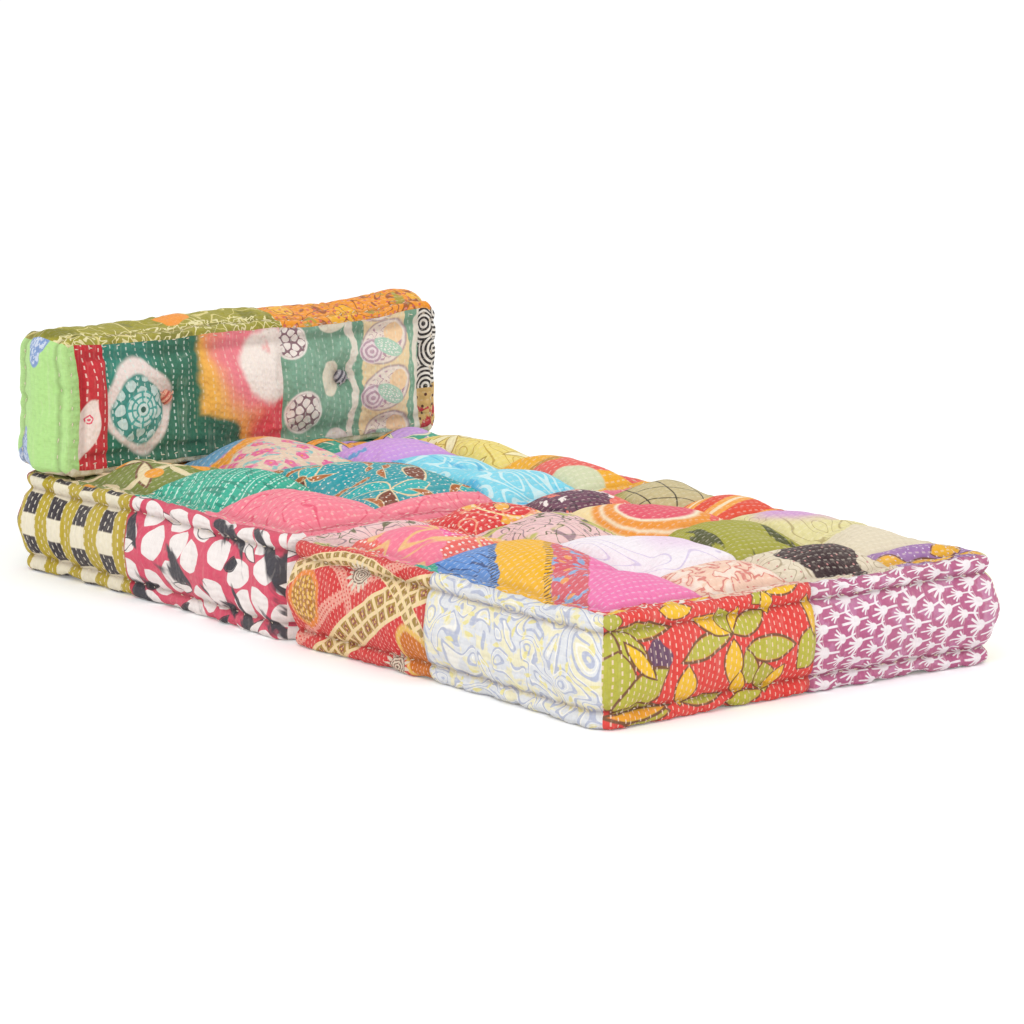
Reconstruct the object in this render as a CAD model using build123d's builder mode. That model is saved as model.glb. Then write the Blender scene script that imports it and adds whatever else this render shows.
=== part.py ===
from build123d import *
from dataclasses import dataclass
from math import cos, radians, sin
import os

# Modular floor pouf: two tufted seat cushions lie in a row on the floor, and a tufted backrest
# cushion stands on the end of the rear one. The three are loose modules, each sewn and filled alone.
# Millimetres. The origin is on the floor in the middle of the row, +X points to the right of the row
# as seen from its front end, +Y runs along the row to the backrest, and +Z is up.

# Seat cushions, measured over their rolled edges
seat_width = 700.0
seat_depth = 700.0
seat_height = 150.0
seat_crown = 25.0
seat_tuft_depth = 39.0
seat_tuft_spread = 100.0
underside_tuft_depth = 12.0
underside_tuft_spread = 46.0

# Backrest cushion, measured over its rolled edges as it stands
backrest_width = seat_width
backrest_height = 212.0
backrest_thickness = 128.0
backrest_crown = 9.0
backrest_tuft_depth = 20.0
backrest_tuft_spread = 66.0

# Rolled edges: a stuffed roll is stitched off along every edge of both faces
roll_diameter = 30.0
roll_groove = 7.0
corner_radius = 34.0

# Side bands swell between the rolls, and the sides are drawn in between their corners
band_swell = 11.0

# Valleys where a seat's face is drawn in along its seams, between the puffed-up patches
valley_depth = 15.0
valley_spread = 58.0

# Cloth, twine and knots
cloth_thickness = 3.0
sewing_ease = 0.3
twine_diameter = 3.0
knot_diameter = 15.0
knot_height = 6.0
dimple_floor_radius = 9.0

# Where one cushion rests against another
module_gap = 0.3
pressed_shoulder = 22.0
pressed_margin = 1.5

# How far cutting shapes run past what they cut
overrun = 5.0

# The crown's levels, as shares of its rise and of the way in from the edge to the middle
crown_level_shares = ((0.0, 0.055), (0.68, 0.21), (1.0, 0.50))
# How fast the crown's level lines grow rounder on the way in
level_rounding_share = 0.2
# A level line's corners take up no more than this share of its half width
level_corner_limit_share = 0.6
# How far a side is drawn in to its middle, as a share of half its straight run
draw_in_share = 0.019
# Levels of the swollen band, as shares of the way from its middle to its edges
band_level_shares = (-1.0, -0.62, -0.22, 0.22, 0.62, 1.0)
# Levels of a tuft's dimple between its rim and its floor, as shares of its spread and its depth
dimple_level_shares = ((1.0, 0.0), (0.62, 0.13), (0.30, 0.46))
# A knot's crest, as a share of its foot
knot_crest_share = 0.55
# Flat sides of the rolls, of the dimples, and of knots and twine
roll_sides = 8
dimple_sides = 8
knot_sides = 6
# Flats that round each corner of a level line
corner_flats = 3
# Degrees in a right-angled corner and in a full turn
corner_turn = 90
full_turn = 360

# Tufts, as shares of a cushion's width and depth from its middle
seat_tuft_shares = ((0.0, 0.0), (-0.23, -0.23), (0.23, -0.23), (-0.23, 0.23), (0.23, 0.23))
backrest_tuft_shares = ((-0.23, 0.0), (0.23, 0.0))

# Long seams between the strips of patchwork in a face panel, as shares of the width from the middle
front_seat_seam_shares = (-0.21, 0.01, 0.25)
rear_seat_seam_shares = (-0.20, 0.07, 0.29)
backrest_seam_shares = (-0.395, -0.17, 0.06)

# Cross seams in each strip of a seat's face, as shares of the depth from the middle
front_seat_cross_shares = ((0.114, 0.357), (-0.30, 0.03, 0.27), (-0.286, 0.0, 0.27), (0.043, 0.229))
rear_seat_cross_shares = ((-0.171, 0.086), (0.03,), (-0.03, 0.157), (-0.171, 0.171))

# Cloths of the side bands: name, side, and where each starts and ends, as shares of the side
front_seat_band_shares = (
    ("band_front_left", "near", -0.5, 0.02),
    ("band_front_right", "near", 0.02, 0.5),
    ("band_right_front", "right", -0.5, 0.06),
    ("band_right_back", "right", 0.06, 0.5),
    ("band_back", "far", -0.5, 0.5),
    ("band_left_front", "left", -0.5, 0.045),
    ("band_left_back", "left", 0.045, 0.5),
)
rear_seat_band_shares = (
    ("band_front", "near", -0.5, 0.5),
    ("band_right_front", "right", -0.5, -0.05),
    ("band_right_back", "right", -0.05, 0.5),
    ("band_back_left", "far", -0.5, 0.03),
    ("band_back_right", "far", 0.03, 0.5),
    ("band_left_front", "left", -0.5, 0.08),
    ("band_left_back", "left", 0.08, 0.5),
)
backrest_band_shares = (
    ("band_underside", "near", -0.5, 0.5),
    ("band_right_end", "right", -0.5, 0.5),
    ("band_top_left", "far", -0.5, 0.07),
    ("band_top_right", "far", 0.07, 0.5),
    ("band_left_end", "left", -0.5, 0.5),
)
# A band's end share that lies on a corner
corner_share = 0.5
# A band's cutting plan reaches from inside the band to outside it, by these shares of the half width
band_reach_shares = (0.7, 1.3)

# Sizes that follow from the ones above
roll_radius = roll_diameter / 2
groove_inset = roll_radius + roll_groove
groove_corner_radius = corner_radius - groove_inset


@dataclass(frozen=True)
class Cushion:
    """One module. Its base plane is the underside's, with the width along x and the thickness along z."""

    name: str
    base: Plane
    width: float
    depth: float
    thickness: float
    face: str
    back: str
    face_crown: float
    back_crown: float
    tuft_shares: tuple
    face_tuft: tuple
    back_tuft: tuple
    pressed_sides: tuple
    pressed_length: float
    face_seam_shares: tuple
    cross_seam_shares: tuple
    band_cloth_shares: tuple

    @property
    def face_roll_height(self):
        """Height of the upper roll's centre line over the base plane."""
        return self.thickness - roll_radius

    @property
    def tufts(self):
        """Places of the tufts in the base plane."""
        return [(x * self.width, y * self.depth) for x, y in self.tuft_shares]

    @property
    def valleys(self):
        """Start and end of each valley in the face, along the long seams and across the strips."""
        if not self.cross_seam_shares:
            return []
        half_width, half_depth = self.width / 2, self.depth / 2
        seams = [share * self.width for share in self.face_seam_shares]
        runs = [((x, -half_depth), (x, half_depth)) for x in seams]
        edges = [-half_width, *seams, half_width]
        for left, right, shares in zip(edges, edges[1:], self.cross_seam_shares):
            runs += [((left, share * self.depth), (right, share * self.depth)) for share in shares]
        return runs


def outline(cushion, height, inset, pressed_inset, radius):
    """Corners of a closed level line over the base: sides drawn in to their middles, and round corners."""
    insets = {side: inset for side in ("near", "right", "far", "left")}
    for side in cushion.pressed_sides:
        insets[side] = pressed_inset
    left = insets["left"] - cushion.width / 2
    right = cushion.width / 2 - insets["right"]
    near = insets["near"] - cushion.depth / 2
    far = cushion.depth / 2 - insets["far"]
    middle_x, middle_y = (left + right) / 2, (near + far) / 2
    width_draw_in = (right - middle_x - radius) * draw_in_share
    depth_draw_in = (far - middle_y - radius) * draw_in_share
    # Each corner's centre, the turn at which it starts, and the middle of the side after it
    corners = (
        (left + radius, near + radius, 2 * corner_turn, "near", (middle_x, near + width_draw_in)),
        (right - radius, near + radius, 3 * corner_turn, "right", (right - depth_draw_in, middle_y)),
        (right - radius, far - radius, 0, "far", (middle_x, far - width_draw_in)),
        (left + radius, far - radius, corner_turn, "left", (left + depth_draw_in, middle_y)),
    )
    points = []
    for centre_x, centre_y, start, side, side_middle in corners:
        for step in range(corner_flats + 1):
            turn = radians(start + corner_turn * step / corner_flats)
            points.append((centre_x + radius * cos(turn), centre_y + radius * sin(turn)))
        if side not in cushion.pressed_sides:
            points.append(side_middle)
    return [cushion.base.from_local_coords(Vector(x, y, height)) for x, y in points]


def stack(outlines):
    """Solid with flat faces from each closed outline to the next, and flat ends."""
    sides = []
    for low, high in zip(outlines, outlines[1:]):
        for index, corner in enumerate(low):
            after = (index + 1) % len(low)
            sides.append(Face(Wire.make_polygon([corner, low[after], high[after], high[index]])))
    ends = [Face(Wire.make_polygon(end)) for end in (outlines[0], outlines[-1])]
    return Solid(Shell(sides + ends))


def groove_outline(cushion, height, skin):
    """Outline where a face, a band and a roll meet, set in by the skin's thickness."""
    inset = groove_inset + skin
    return outline(cushion, height, inset, inset, corner_radius - inset)


def add_band_form(cushion, skin, mode=Mode.ADD):
    """Side form from roll to roll: swollen, but flat where another cushion presses, set in by the skin."""
    middle = cushion.thickness / 2
    half_height = cushion.face_roll_height - middle
    levels = []
    for share in band_level_shares:
        pressed_inset = groove_inset * share**2 + skin
        inset = pressed_inset - band_swell * (1 - share**2)
        radius = corner_radius - inset
        levels.append(outline(cushion, middle + half_height * share, inset, pressed_inset, radius))
    add(stack(levels), mode=mode)


def add_face_form(cushion, outward, skin, mode=Mode.ADD):
    """Form of the upper face (outward 1) or the lower face (outward -1), set in by the skin."""
    crown = cushion.face_crown if outward > 0 else cushion.back_crown
    face_height = cushion.thickness if outward > 0 else 0
    roll_height = face_height - outward * roll_radius
    levels = [groove_outline(cushion, roll_height, skin)]
    half_side = min(cushion.width, cushion.depth) / 2
    reach = half_side - groove_inset
    for rise_share, inset_share in crown_level_shares if crown else crown_level_shares[:1]:
        height = face_height + outward * (crown * rise_share - skin)
        travel = reach * inset_share if crown else 0
        inset = groove_inset + travel + skin
        full_radius = groove_corner_radius - skin + travel * level_rounding_share
        radius = min(full_radius, (half_side - inset) * level_corner_limit_share)
        levels.append(outline(cushion, height, inset, inset, radius))
    add(stack(levels), mode=mode)


def dimple_floor(cushion, outward, skin=0):
    """Height over the base of the flat floor of a tuft's dimple."""
    if outward > 0:
        return cushion.thickness + cushion.face_crown - cushion.face_tuft[0] - skin
    return cushion.back_tuft[0] - cushion.back_crown + skin


def tuft_outlines(cushion, place, levels, side_count):
    """Many-sided outlines about a tuft, one for each radius and height over the base."""
    outlines = []
    for radius, height in levels:
        turns = [radians(full_turn * side / side_count) for side in range(side_count)]
        points = [(place[0] + radius * cos(turn), place[1] + radius * sin(turn)) for turn in turns]
        outlines.append([cushion.base.from_local_coords(Vector(x, y, height)) for x, y in points])
    return outlines


def cut_dimples(cushion, outward, skin):
    """Sew the tufts in: a many-sided dimple with full shoulders and a flat floor at each."""
    depth, spread = cushion.face_tuft if outward > 0 else cushion.back_tuft
    floor = dimple_floor(cushion, outward, skin)
    rim = floor + outward * depth
    level_shares = dimple_level_shares if outward > 0 else dimple_level_shares[:1]
    levels = [(spread, rim + outward * overrun)]
    levels += [(spread * reach, rim - outward * depth * fall) for reach, fall in level_shares]
    levels.append((dimple_floor_radius, floor))
    dimples = [stack(tuft_outlines(cushion, place, levels, dimple_sides)) for place in cushion.tufts]
    add(dimples, mode=Mode.SUBTRACT)


def cut_valleys(cushion, skin):
    """Draw the face in along its seams, so that each patch puffs up between them."""
    foot = cushion.thickness + cushion.face_crown - valley_depth - skin
    rim = foot + valley_depth + overrun
    reach = valley_spread * (rim - foot) / valley_depth
    valleys = []
    for start, end in cushion.valleys:
        along = Vector(end[0] - start[0], end[1] - start[1]).normalized()
        aside = Vector(-along.Y, along.X) * reach
        sections = []
        for x, y in (start, end):
            corners = (Vector(x, y, foot), Vector(x, y, rim) + aside, Vector(x, y, rim) - aside)
            sections.append([cushion.base.from_local_coords(corner) for corner in corners])
        valleys.append(stack(sections))
    if valleys:
        add(valleys, mode=Mode.SUBTRACT)


def cut_pressed_zone(cushion, skin):
    """Press the crown flat under the cushion that stands on it, with a round shoulder before it."""
    if not cushion.pressed_length:
        return
    foot = cushion.depth / 2 - cushion.pressed_length - pressed_margin - skin
    top = cushion.thickness - skin
    shoulder = (foot - pressed_shoulder, top + pressed_shoulder)
    beyond = (cushion.depth / 2 + overrun, top)
    side_view = Plane(
        origin=cushion.base.origin, x_dir=cushion.base.y_dir, z_dir=cushion.base.x_dir
    )
    with BuildSketch(side_view) as profile:
        with BuildLine():
            TangentArc(shoulder, (foot, top), tangent=(1, 0))
            Polyline((foot, top), beyond, (beyond[0], shoulder[1]), shoulder)
        make_face()
    extrude(profile.sketch, amount=cushion.width / 2 + overrun, both=True, mode=Mode.SUBTRACT)


def sweep_roll(cushion, height, radius, mode=Mode.ADD):
    """Tube along the edge at a height over the base, with a flat side below, above and outside."""
    rim = outline(cushion, height, roll_radius, roll_radius, corner_radius - roll_radius)
    path = Wire.make_polygon(rim)
    with BuildSketch(Plane(origin=path @ 0, x_dir=cushion.base.z_dir, z_dir=path % 0)) as ring:
        RegularPolygon(radius, roll_sides, major_radius=False, rotation=180 / roll_sides)
    sweep(ring.sketch, path=path, transition=Transition.RIGHT, mode=mode)


def cut_roll_channels(cushion):
    """Clear both rolled edges, with the sewing ease."""
    for height in (roll_radius, cushion.face_roll_height):
        sweep_roll(cushion, height, roll_radius + sewing_ease, Mode.SUBTRACT)


def cut_twine_holes(cushion):
    """Needle holes along every tie, with the sewing ease."""
    low = -cushion.back_crown - overrun
    with BuildSketch(cushion.base.offset(low)) as holes:
        with Locations(*cushion.tufts):
            RegularPolygon(twine_diameter / 2 + sewing_ease, knot_sides)
    height = cushion.thickness + cushion.face_crown + overrun - low
    extrude(holes.sketch, amount=height, mode=Mode.SUBTRACT)


def make_stuffing(cushion):
    """Packed cotton block that fills the covers: crowned, dimpled and grooved for the rolls."""
    skin = cloth_thickness + sewing_ease
    with BuildPart() as stuffing:
        add_band_form(cushion, skin)
        add_face_form(cushion, 1, skin)
        add_face_form(cushion, -1, skin)
        cut_valleys(cushion, skin)
        cut_pressed_zone(cushion, skin)
        cut_dimples(cushion, 1, skin)
        cut_dimples(cushion, -1, skin)
        cut_roll_channels(cushion)
        cut_twine_holes(cushion)
    return stuffing.part


def make_panel(cushion, outward, seam_shares=()):
    """One face's cloth, cut into its strips of patchwork where they are sewn edge to edge."""
    with BuildPart() as filling:
        add_face_form(cushion, outward, cloth_thickness)
        if outward > 0:
            cut_valleys(cushion, cloth_thickness)
            cut_pressed_zone(cushion, cloth_thickness)
        cut_dimples(cushion, outward, cloth_thickness)
    with BuildPart() as panel:
        add_face_form(cushion, outward, 0)
        if outward > 0:
            cut_valleys(cushion, 0)
            cut_pressed_zone(cushion, 0)
        cut_dimples(cushion, outward, 0)
        add(filling.part, mode=Mode.SUBTRACT)
        cut_roll_channels(cushion)
        cut_twine_holes(cushion)
        for share in seam_shares:
            seam = cushion.base.from_local_coords(Vector(share * cushion.width, 0))
            split(bisect_by=Plane(origin=seam, z_dir=cushion.base.x_dir), keep=Keep.BOTH)
    return panel.part


def make_band(cushion):
    """The whole side band as one ring of cloth, open where the rolls are stitched off."""
    with BuildPart() as band:
        add_band_form(cushion, 0)
        add_band_form(cushion, cloth_thickness, Mode.SUBTRACT)
        cut_roll_channels(cushion)
    return band.part


def make_band_cloth(cushion, band, side, start, end):
    """One cloth of the band, from one seam to the next, mitred where it ends at a corner."""
    across_x = side in ("left", "right")
    sign = 1 if side in ("right", "far") else -1
    half_width, half_depth = cushion.width / 2, cushion.depth / 2
    normal_half, along_half = (half_width, half_depth) if across_x else (half_depth, half_width)
    points = []
    for reach, ends in zip(band_reach_shares, ((start, end), (end, start))):
        for share in ends:
            corner = abs(share) == corner_share
            along = 2 * share * along_half * (reach if corner else 1)
            out = sign * reach * normal_half
            points.append((out, along) if across_x else (along, out))
    with BuildPart() as cloth:
        add(band)
        with BuildSketch(cushion.base) as plan:
            with BuildLine():
                Polyline(*points, close=True)
            make_face()
        extrude(plan.sketch, amount=cushion.thickness, mode=Mode.INTERSECT)
    return cloth.part


def make_roll(cushion, height):
    """One rolled edge: a stuffed tube of cloth that runs round the cushion."""
    with BuildPart() as roll:
        sweep_roll(cushion, height, roll_radius)
    return roll.part


def make_ties(cushion):
    """Twine through the whole thickness, one length at each tuft."""
    low = dimple_floor(cushion, -1)
    with BuildPart() as ties:
        with BuildSketch(cushion.base.offset(low)) as twine:
            with Locations(*cushion.tufts):
                RegularPolygon(twine_diameter / 2, knot_sides)
        extrude(twine.sketch, amount=dimple_floor(cushion, 1) - low)
    return ties.part


def make_tufts(cushion, outward):
    """Knots that the twine is tied over, seated on the floors of the dimples."""
    floor = dimple_floor(cushion, outward)
    foot_radius = knot_diameter / 2
    levels = ((foot_radius, floor), (foot_radius * knot_crest_share, floor + outward * knot_height))
    with BuildPart() as tufts:
        for place in cushion.tufts:
            add(stack(tuft_outlines(cushion, place, levels, knot_sides)))
    return tufts.part


def write_piece(cushion, piece_name, piece):
    """Label one piece and write it under its cushion's name."""
    piece.label = f"{cushion.name}_{piece_name}"
    export_step(piece, f"parts/{piece.label}.step")


def build_cushion(cushion):
    """Make and write every piece of one module."""
    band = make_band(cushion)
    write_piece(cushion, "stuffing", make_stuffing(cushion))
    write_piece(cushion, f"{cushion.face}_panel", make_panel(cushion, 1, cushion.face_seam_shares))
    write_piece(cushion, f"{cushion.back}_panel", make_panel(cushion, -1))
    for piece_name, side, start, end in cushion.band_cloth_shares:
        write_piece(cushion, piece_name, make_band_cloth(cushion, band, side, start, end))
    write_piece(cushion, f"{cushion.face}_roll", make_roll(cushion, cushion.face_roll_height))
    write_piece(cushion, f"{cushion.back}_roll", make_roll(cushion, roll_radius))
    write_piece(cushion, "tuft_ties", make_ties(cushion))
    write_piece(cushion, f"{cushion.face}_tufts", make_tufts(cushion, 1))
    write_piece(cushion, f"{cushion.back}_tufts", make_tufts(cushion, -1))


row_end = seat_depth + module_gap / 2

front_seat = Cushion(
    name="front_seat",
    base=Plane(origin=(0, -(module_gap + seat_depth) / 2, 0)),
    width=seat_width,
    depth=seat_depth,
    thickness=seat_height,
    face="top",
    back="underside",
    face_crown=seat_crown,
    back_crown=0,
    tuft_shares=seat_tuft_shares,
    face_tuft=(seat_tuft_depth, seat_tuft_spread),
    back_tuft=(underside_tuft_depth, underside_tuft_spread),
    pressed_sides=("far",),
    pressed_length=0,
    face_seam_shares=front_seat_seam_shares,
    cross_seam_shares=front_seat_cross_shares,
    band_cloth_shares=front_seat_band_shares,
)

rear_seat = Cushion(
    name="rear_seat",
    base=Plane(origin=(0, (module_gap + seat_depth) / 2, 0)),
    width=seat_width,
    depth=seat_depth,
    thickness=seat_height,
    face="top",
    back="underside",
    face_crown=seat_crown,
    back_crown=0,
    tuft_shares=seat_tuft_shares,
    face_tuft=(seat_tuft_depth, seat_tuft_spread),
    back_tuft=(underside_tuft_depth, underside_tuft_spread),
    pressed_sides=("near",),
    pressed_length=backrest_thickness,
    face_seam_shares=rear_seat_seam_shares,
    cross_seam_shares=rear_seat_cross_shares,
    band_cloth_shares=rear_seat_band_shares,
)

# The backrest lies on its back against the row's end plane, so its width is still along X,
# its depth is its height along Z, and its thickness runs forward, along -Y.
backrest = Cushion(
    name="backrest",
    base=Plane(
        origin=(0, row_end, seat_height + module_gap + backrest_height / 2),
        x_dir=(1, 0, 0),
        z_dir=(0, -1, 0),
    ),
    width=backrest_width,
    depth=backrest_height,
    thickness=backrest_thickness,
    face="front",
    back="back",
    face_crown=backrest_crown,
    back_crown=backrest_crown,
    tuft_shares=backrest_tuft_shares,
    face_tuft=(backrest_tuft_depth, backrest_tuft_spread),
    back_tuft=(backrest_tuft_depth, backrest_tuft_spread),
    pressed_sides=("near",),
    pressed_length=0,
    face_seam_shares=backrest_seam_shares,
    cross_seam_shares=(),
    band_cloth_shares=backrest_band_shares,
)

os.makedirs("parts", exist_ok=True)
for module in (front_seat, rear_seat, backrest):
    build_cushion(module)
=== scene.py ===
"""Patchwork floor pouf in three loose modules: two tufted seats in a row and a tufted backrest.

Each module is one padded cover, sewn from patches of printed cotton over a stuffed block, with a
stitched roll along every edge and twine tufts through its thickness. All lengths are in metres.
"""

from __future__ import annotations

import logging
import math
from dataclasses import dataclass
from enum import Enum

import bmesh
import bpy
import numpy as np
from mathutils import Matrix, Vector
from mathutils.bvhtree import BVHTree


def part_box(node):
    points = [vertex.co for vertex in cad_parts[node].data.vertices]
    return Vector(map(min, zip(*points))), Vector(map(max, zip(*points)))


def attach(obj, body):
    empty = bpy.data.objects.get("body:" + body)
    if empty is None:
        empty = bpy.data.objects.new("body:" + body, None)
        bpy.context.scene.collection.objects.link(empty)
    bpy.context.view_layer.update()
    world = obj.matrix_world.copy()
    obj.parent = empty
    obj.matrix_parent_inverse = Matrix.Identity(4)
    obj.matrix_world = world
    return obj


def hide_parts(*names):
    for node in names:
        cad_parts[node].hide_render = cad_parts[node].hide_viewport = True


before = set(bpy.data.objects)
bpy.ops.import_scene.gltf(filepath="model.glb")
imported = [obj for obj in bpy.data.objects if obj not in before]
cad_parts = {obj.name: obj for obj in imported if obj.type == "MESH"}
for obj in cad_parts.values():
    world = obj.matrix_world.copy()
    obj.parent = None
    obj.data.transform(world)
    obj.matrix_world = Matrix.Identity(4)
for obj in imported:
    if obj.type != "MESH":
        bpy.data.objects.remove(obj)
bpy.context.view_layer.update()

log = logging.getLogger("pouf")
Colour = tuple[float, float, float, float]
Place = tuple[float, float]
FULL_TURN = 2 * math.pi


def dye(code: str) -> Colour:
    """A cloth colour from its six-digit code, as the shader's linear values.

    Args:
        code: Red, green and blue in two hexadecimal digits each.

    Returns:
        Linear red, green, blue and alpha.
    """
    shares = [int(code[at : at + 2], 16) / 255 for at in (0, 2, 4)]
    linear = [s / 12.92 if s <= 0.04045 else ((s + 0.055) / 1.055) ** 2.4 for s in shares]
    return (*linear, 1.0)


class Wire:
    """A value under way in a node tree. Arithmetic on it adds the Math node that works it out."""

    def __init__(self, weaver: Weaver, socket: bpy.types.NodeSocket) -> None:
        """Takes hold of an output socket in the weaver's tree."""
        self.weaver = weaver
        self.socket = socket

    def __add__(self, other: Value) -> Wire:
        """Sum of the two."""
        return self.weaver.maths("ADD", self, other)

    def __sub__(self, other: Value) -> Wire:
        """What is left of this one."""
        return self.weaver.maths("SUBTRACT", self, other)

    def __rsub__(self, other: Value) -> Wire:
        """What this one leaves of the other."""
        return self.weaver.maths("SUBTRACT", other, self)

    def __mul__(self, other: Value) -> Wire:
        """Product of the two."""
        return self.weaver.maths("MULTIPLY", self, other)

    def __truediv__(self, other: Value) -> Wire:
        """This one, counted in the other."""
        return self.weaver.maths("DIVIDE", self, other)

    def __rtruediv__(self, other: Value) -> Wire:
        """The other, counted in this one."""
        return self.weaver.maths("DIVIDE", other, self)

    def __abs__(self) -> Wire:
        """The value without its sign."""
        return self.weaver.maths("ABSOLUTE", self)


Value = Wire | float | tuple


class Weaver:
    """Fills one node tree, each step giving back the wire that the next one reads."""

    def __init__(self, tree: bpy.types.NodeTree) -> None:
        """Starts on a tree."""
        self.nodes = tree.nodes
        self.links = tree.links

    def feed(self, socket: bpy.types.NodeSocket, value: Value) -> None:
        """Links a wire to an input socket, or sets the socket's own value.

        Args:
            socket: The input.
            value: A wire, number, vector or colour.
        """
        if isinstance(value, Wire):
            self.links.new(value.socket, socket)
        else:
            socket.default_value = value

    def dress(self, node: bpy.types.Node, inputs: dict[str, Value]) -> None:
        """Feeds several inputs of a node, by name."""
        for name, value in inputs.items():
            self.feed(node.inputs[name], value)

    def add(self, kind: str, inputs: dict[str, Value], **settings: object) -> dict[str, Wire]:
        """Adds a node.

        Args:
            kind: The node's type.
            inputs: Values for its inputs, by name.
            **settings: Properties of the node.

        Returns:
            Its outputs, by name.
        """
        node = self.nodes.new(kind)
        for name, value in settings.items():
            setattr(node, name, value)
        self.dress(node, inputs)
        return {socket.name: Wire(self, socket) for socket in node.outputs}

    def sum_up(self, kind: str, operation: str, values: tuple[Value, ...]) -> bpy.types.NodeOutputs:
        """Adds a Math or Vector Math node.

        Args:
            kind: The node's type.
            operation: What it does.
            values: Its inputs, in order.

        Returns:
            The node's outputs.
        """
        node = self.nodes.new(kind)
        node.operation = operation
        for socket, value in zip(node.inputs, values):
            self.feed(socket, value)
        return node.outputs

    def maths(self, operation: str, *values: Value) -> Wire:
        """Adds a Math node and gives its result."""
        return Wire(self, self.sum_up("ShaderNodeMath", operation, values)[0])

    def vector(self, operation: str, *values: Value) -> Wire:
        """Adds a Vector Math node and gives its vector."""
        return Wire(self, self.sum_up("ShaderNodeVectorMath", operation, values)["Vector"])

    def length(self, vector: Wire) -> Wire:
        """Length of a vector."""
        return Wire(self, self.sum_up("ShaderNodeVectorMath", "LENGTH", (vector,))["Value"])

    def scaled(self, vector: Wire, spacing: Value) -> Wire:
        """The vector counted in spacings instead of metres."""
        inputs = {"Vector": vector, "Scale": self.maths("DIVIDE", 1.0, spacing)}
        return self.add("ShaderNodeVectorMath", inputs, operation="SCALE")["Vector"]

    def turned(self, vector: Wire, degrees: float) -> Wire:
        """The vector turned about its origin."""
        inputs = {"Vector": vector, "Rotation": (0.0, 0.0, math.radians(degrees))}
        return self.add("ShaderNodeMapping", inputs)["Vector"]

    def step(self, value: Wire, low: Value, high: Value) -> Wire:
        """Soft step from 0 at low to 1 at high."""
        inputs = {"Value": value, "From Min": low, "From Max": high}
        return self.add("ShaderNodeMapRange", inputs, interpolation_type="SMOOTHSTEP")["Result"]

    def fall(self, value: Wire, low: Value, high: Value) -> Wire:
        """Soft step from 1 at low to 0 at high."""
        return 1.0 - self.step(value, low, high)

    def mix(self, share: Value, first: Value, second: Value, blend: str = "MIX") -> Wire:
        """Mixes two colours.

        Args:
            share: Share of the second.
            first: Colour below.
            second: Colour laid over it.
            blend: The Mix node's blend type.

        Returns:
            The mixed colour.
        """
        node = self.nodes.new("ShaderNodeMix")
        node.data_type = "RGBA"
        node.blend_type = blend
        for index, value in ((0, share), (6, first), (7, second)):
            self.feed(node.inputs[index], value)
        return Wire(self, node.outputs[2])

    def parts(self, vector: Wire) -> tuple[Wire, Wire]:
        """First two parts of a vector."""
        split = self.add("ShaderNodeSeparateXYZ", {"Vector": vector})
        return split["X"], split["Y"]

    def noise(self, vector: Wire, detail: float = 2.0, distortion: float = 0.0) -> Wire:
        """Cloud noise at one lump per unit of the vector."""
        inputs = {"Vector": vector, "Scale": 1.0, "Detail": detail, "Distortion": distortion}
        return self.add("ShaderNodeTexNoise", inputs, noise_dimensions="2D")["Fac"]

    def cells(self, vector: Wire, jitter: Value, **settings: str) -> dict[str, Wire]:
        """Cells about scattered points, one per unit of the vector."""
        inputs = {"Vector": vector, "Scale": 1.0, "Randomness": jitter}
        return self.add("ShaderNodeTexVoronoi", inputs, voronoi_dimensions="2D", **settings)


class Effect(Enum):
    """Shader node groups that more than one cloth uses, with their inputs and outputs."""

    SPRIGS = ("printed_sprigs", "Spacing Petals Reach Width Bend Jitter Spin", "Shape Rim Heart Tone")
    SPOTS = ("printed_spots", "Spacing Reach Rings Jitter", "Disc Rings")
    PEBBLES = ("printed_pebbles", "Spacing Gap Jitter", "Stone")
    FANS = ("printed_fans", "Pitch Row", "Fan")
    LINES = ("drawn_lines", "Spacing Count Thickness", "Line")
    BLOTCHES = ("dyed_blotches", "Spacing Cover Softness", "Blotch")
    STRIPES = ("woven_stripes", "Pitch Share Sway Swing", "Stripe")
    STITCHES = ("running_stitches", "Pitch Length", "Thread Pucker")
    CLOTH = ("plain_weave", "", "Tone Height")
    WEAR = ("faded_by_use", "", "Fade Rub")


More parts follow.
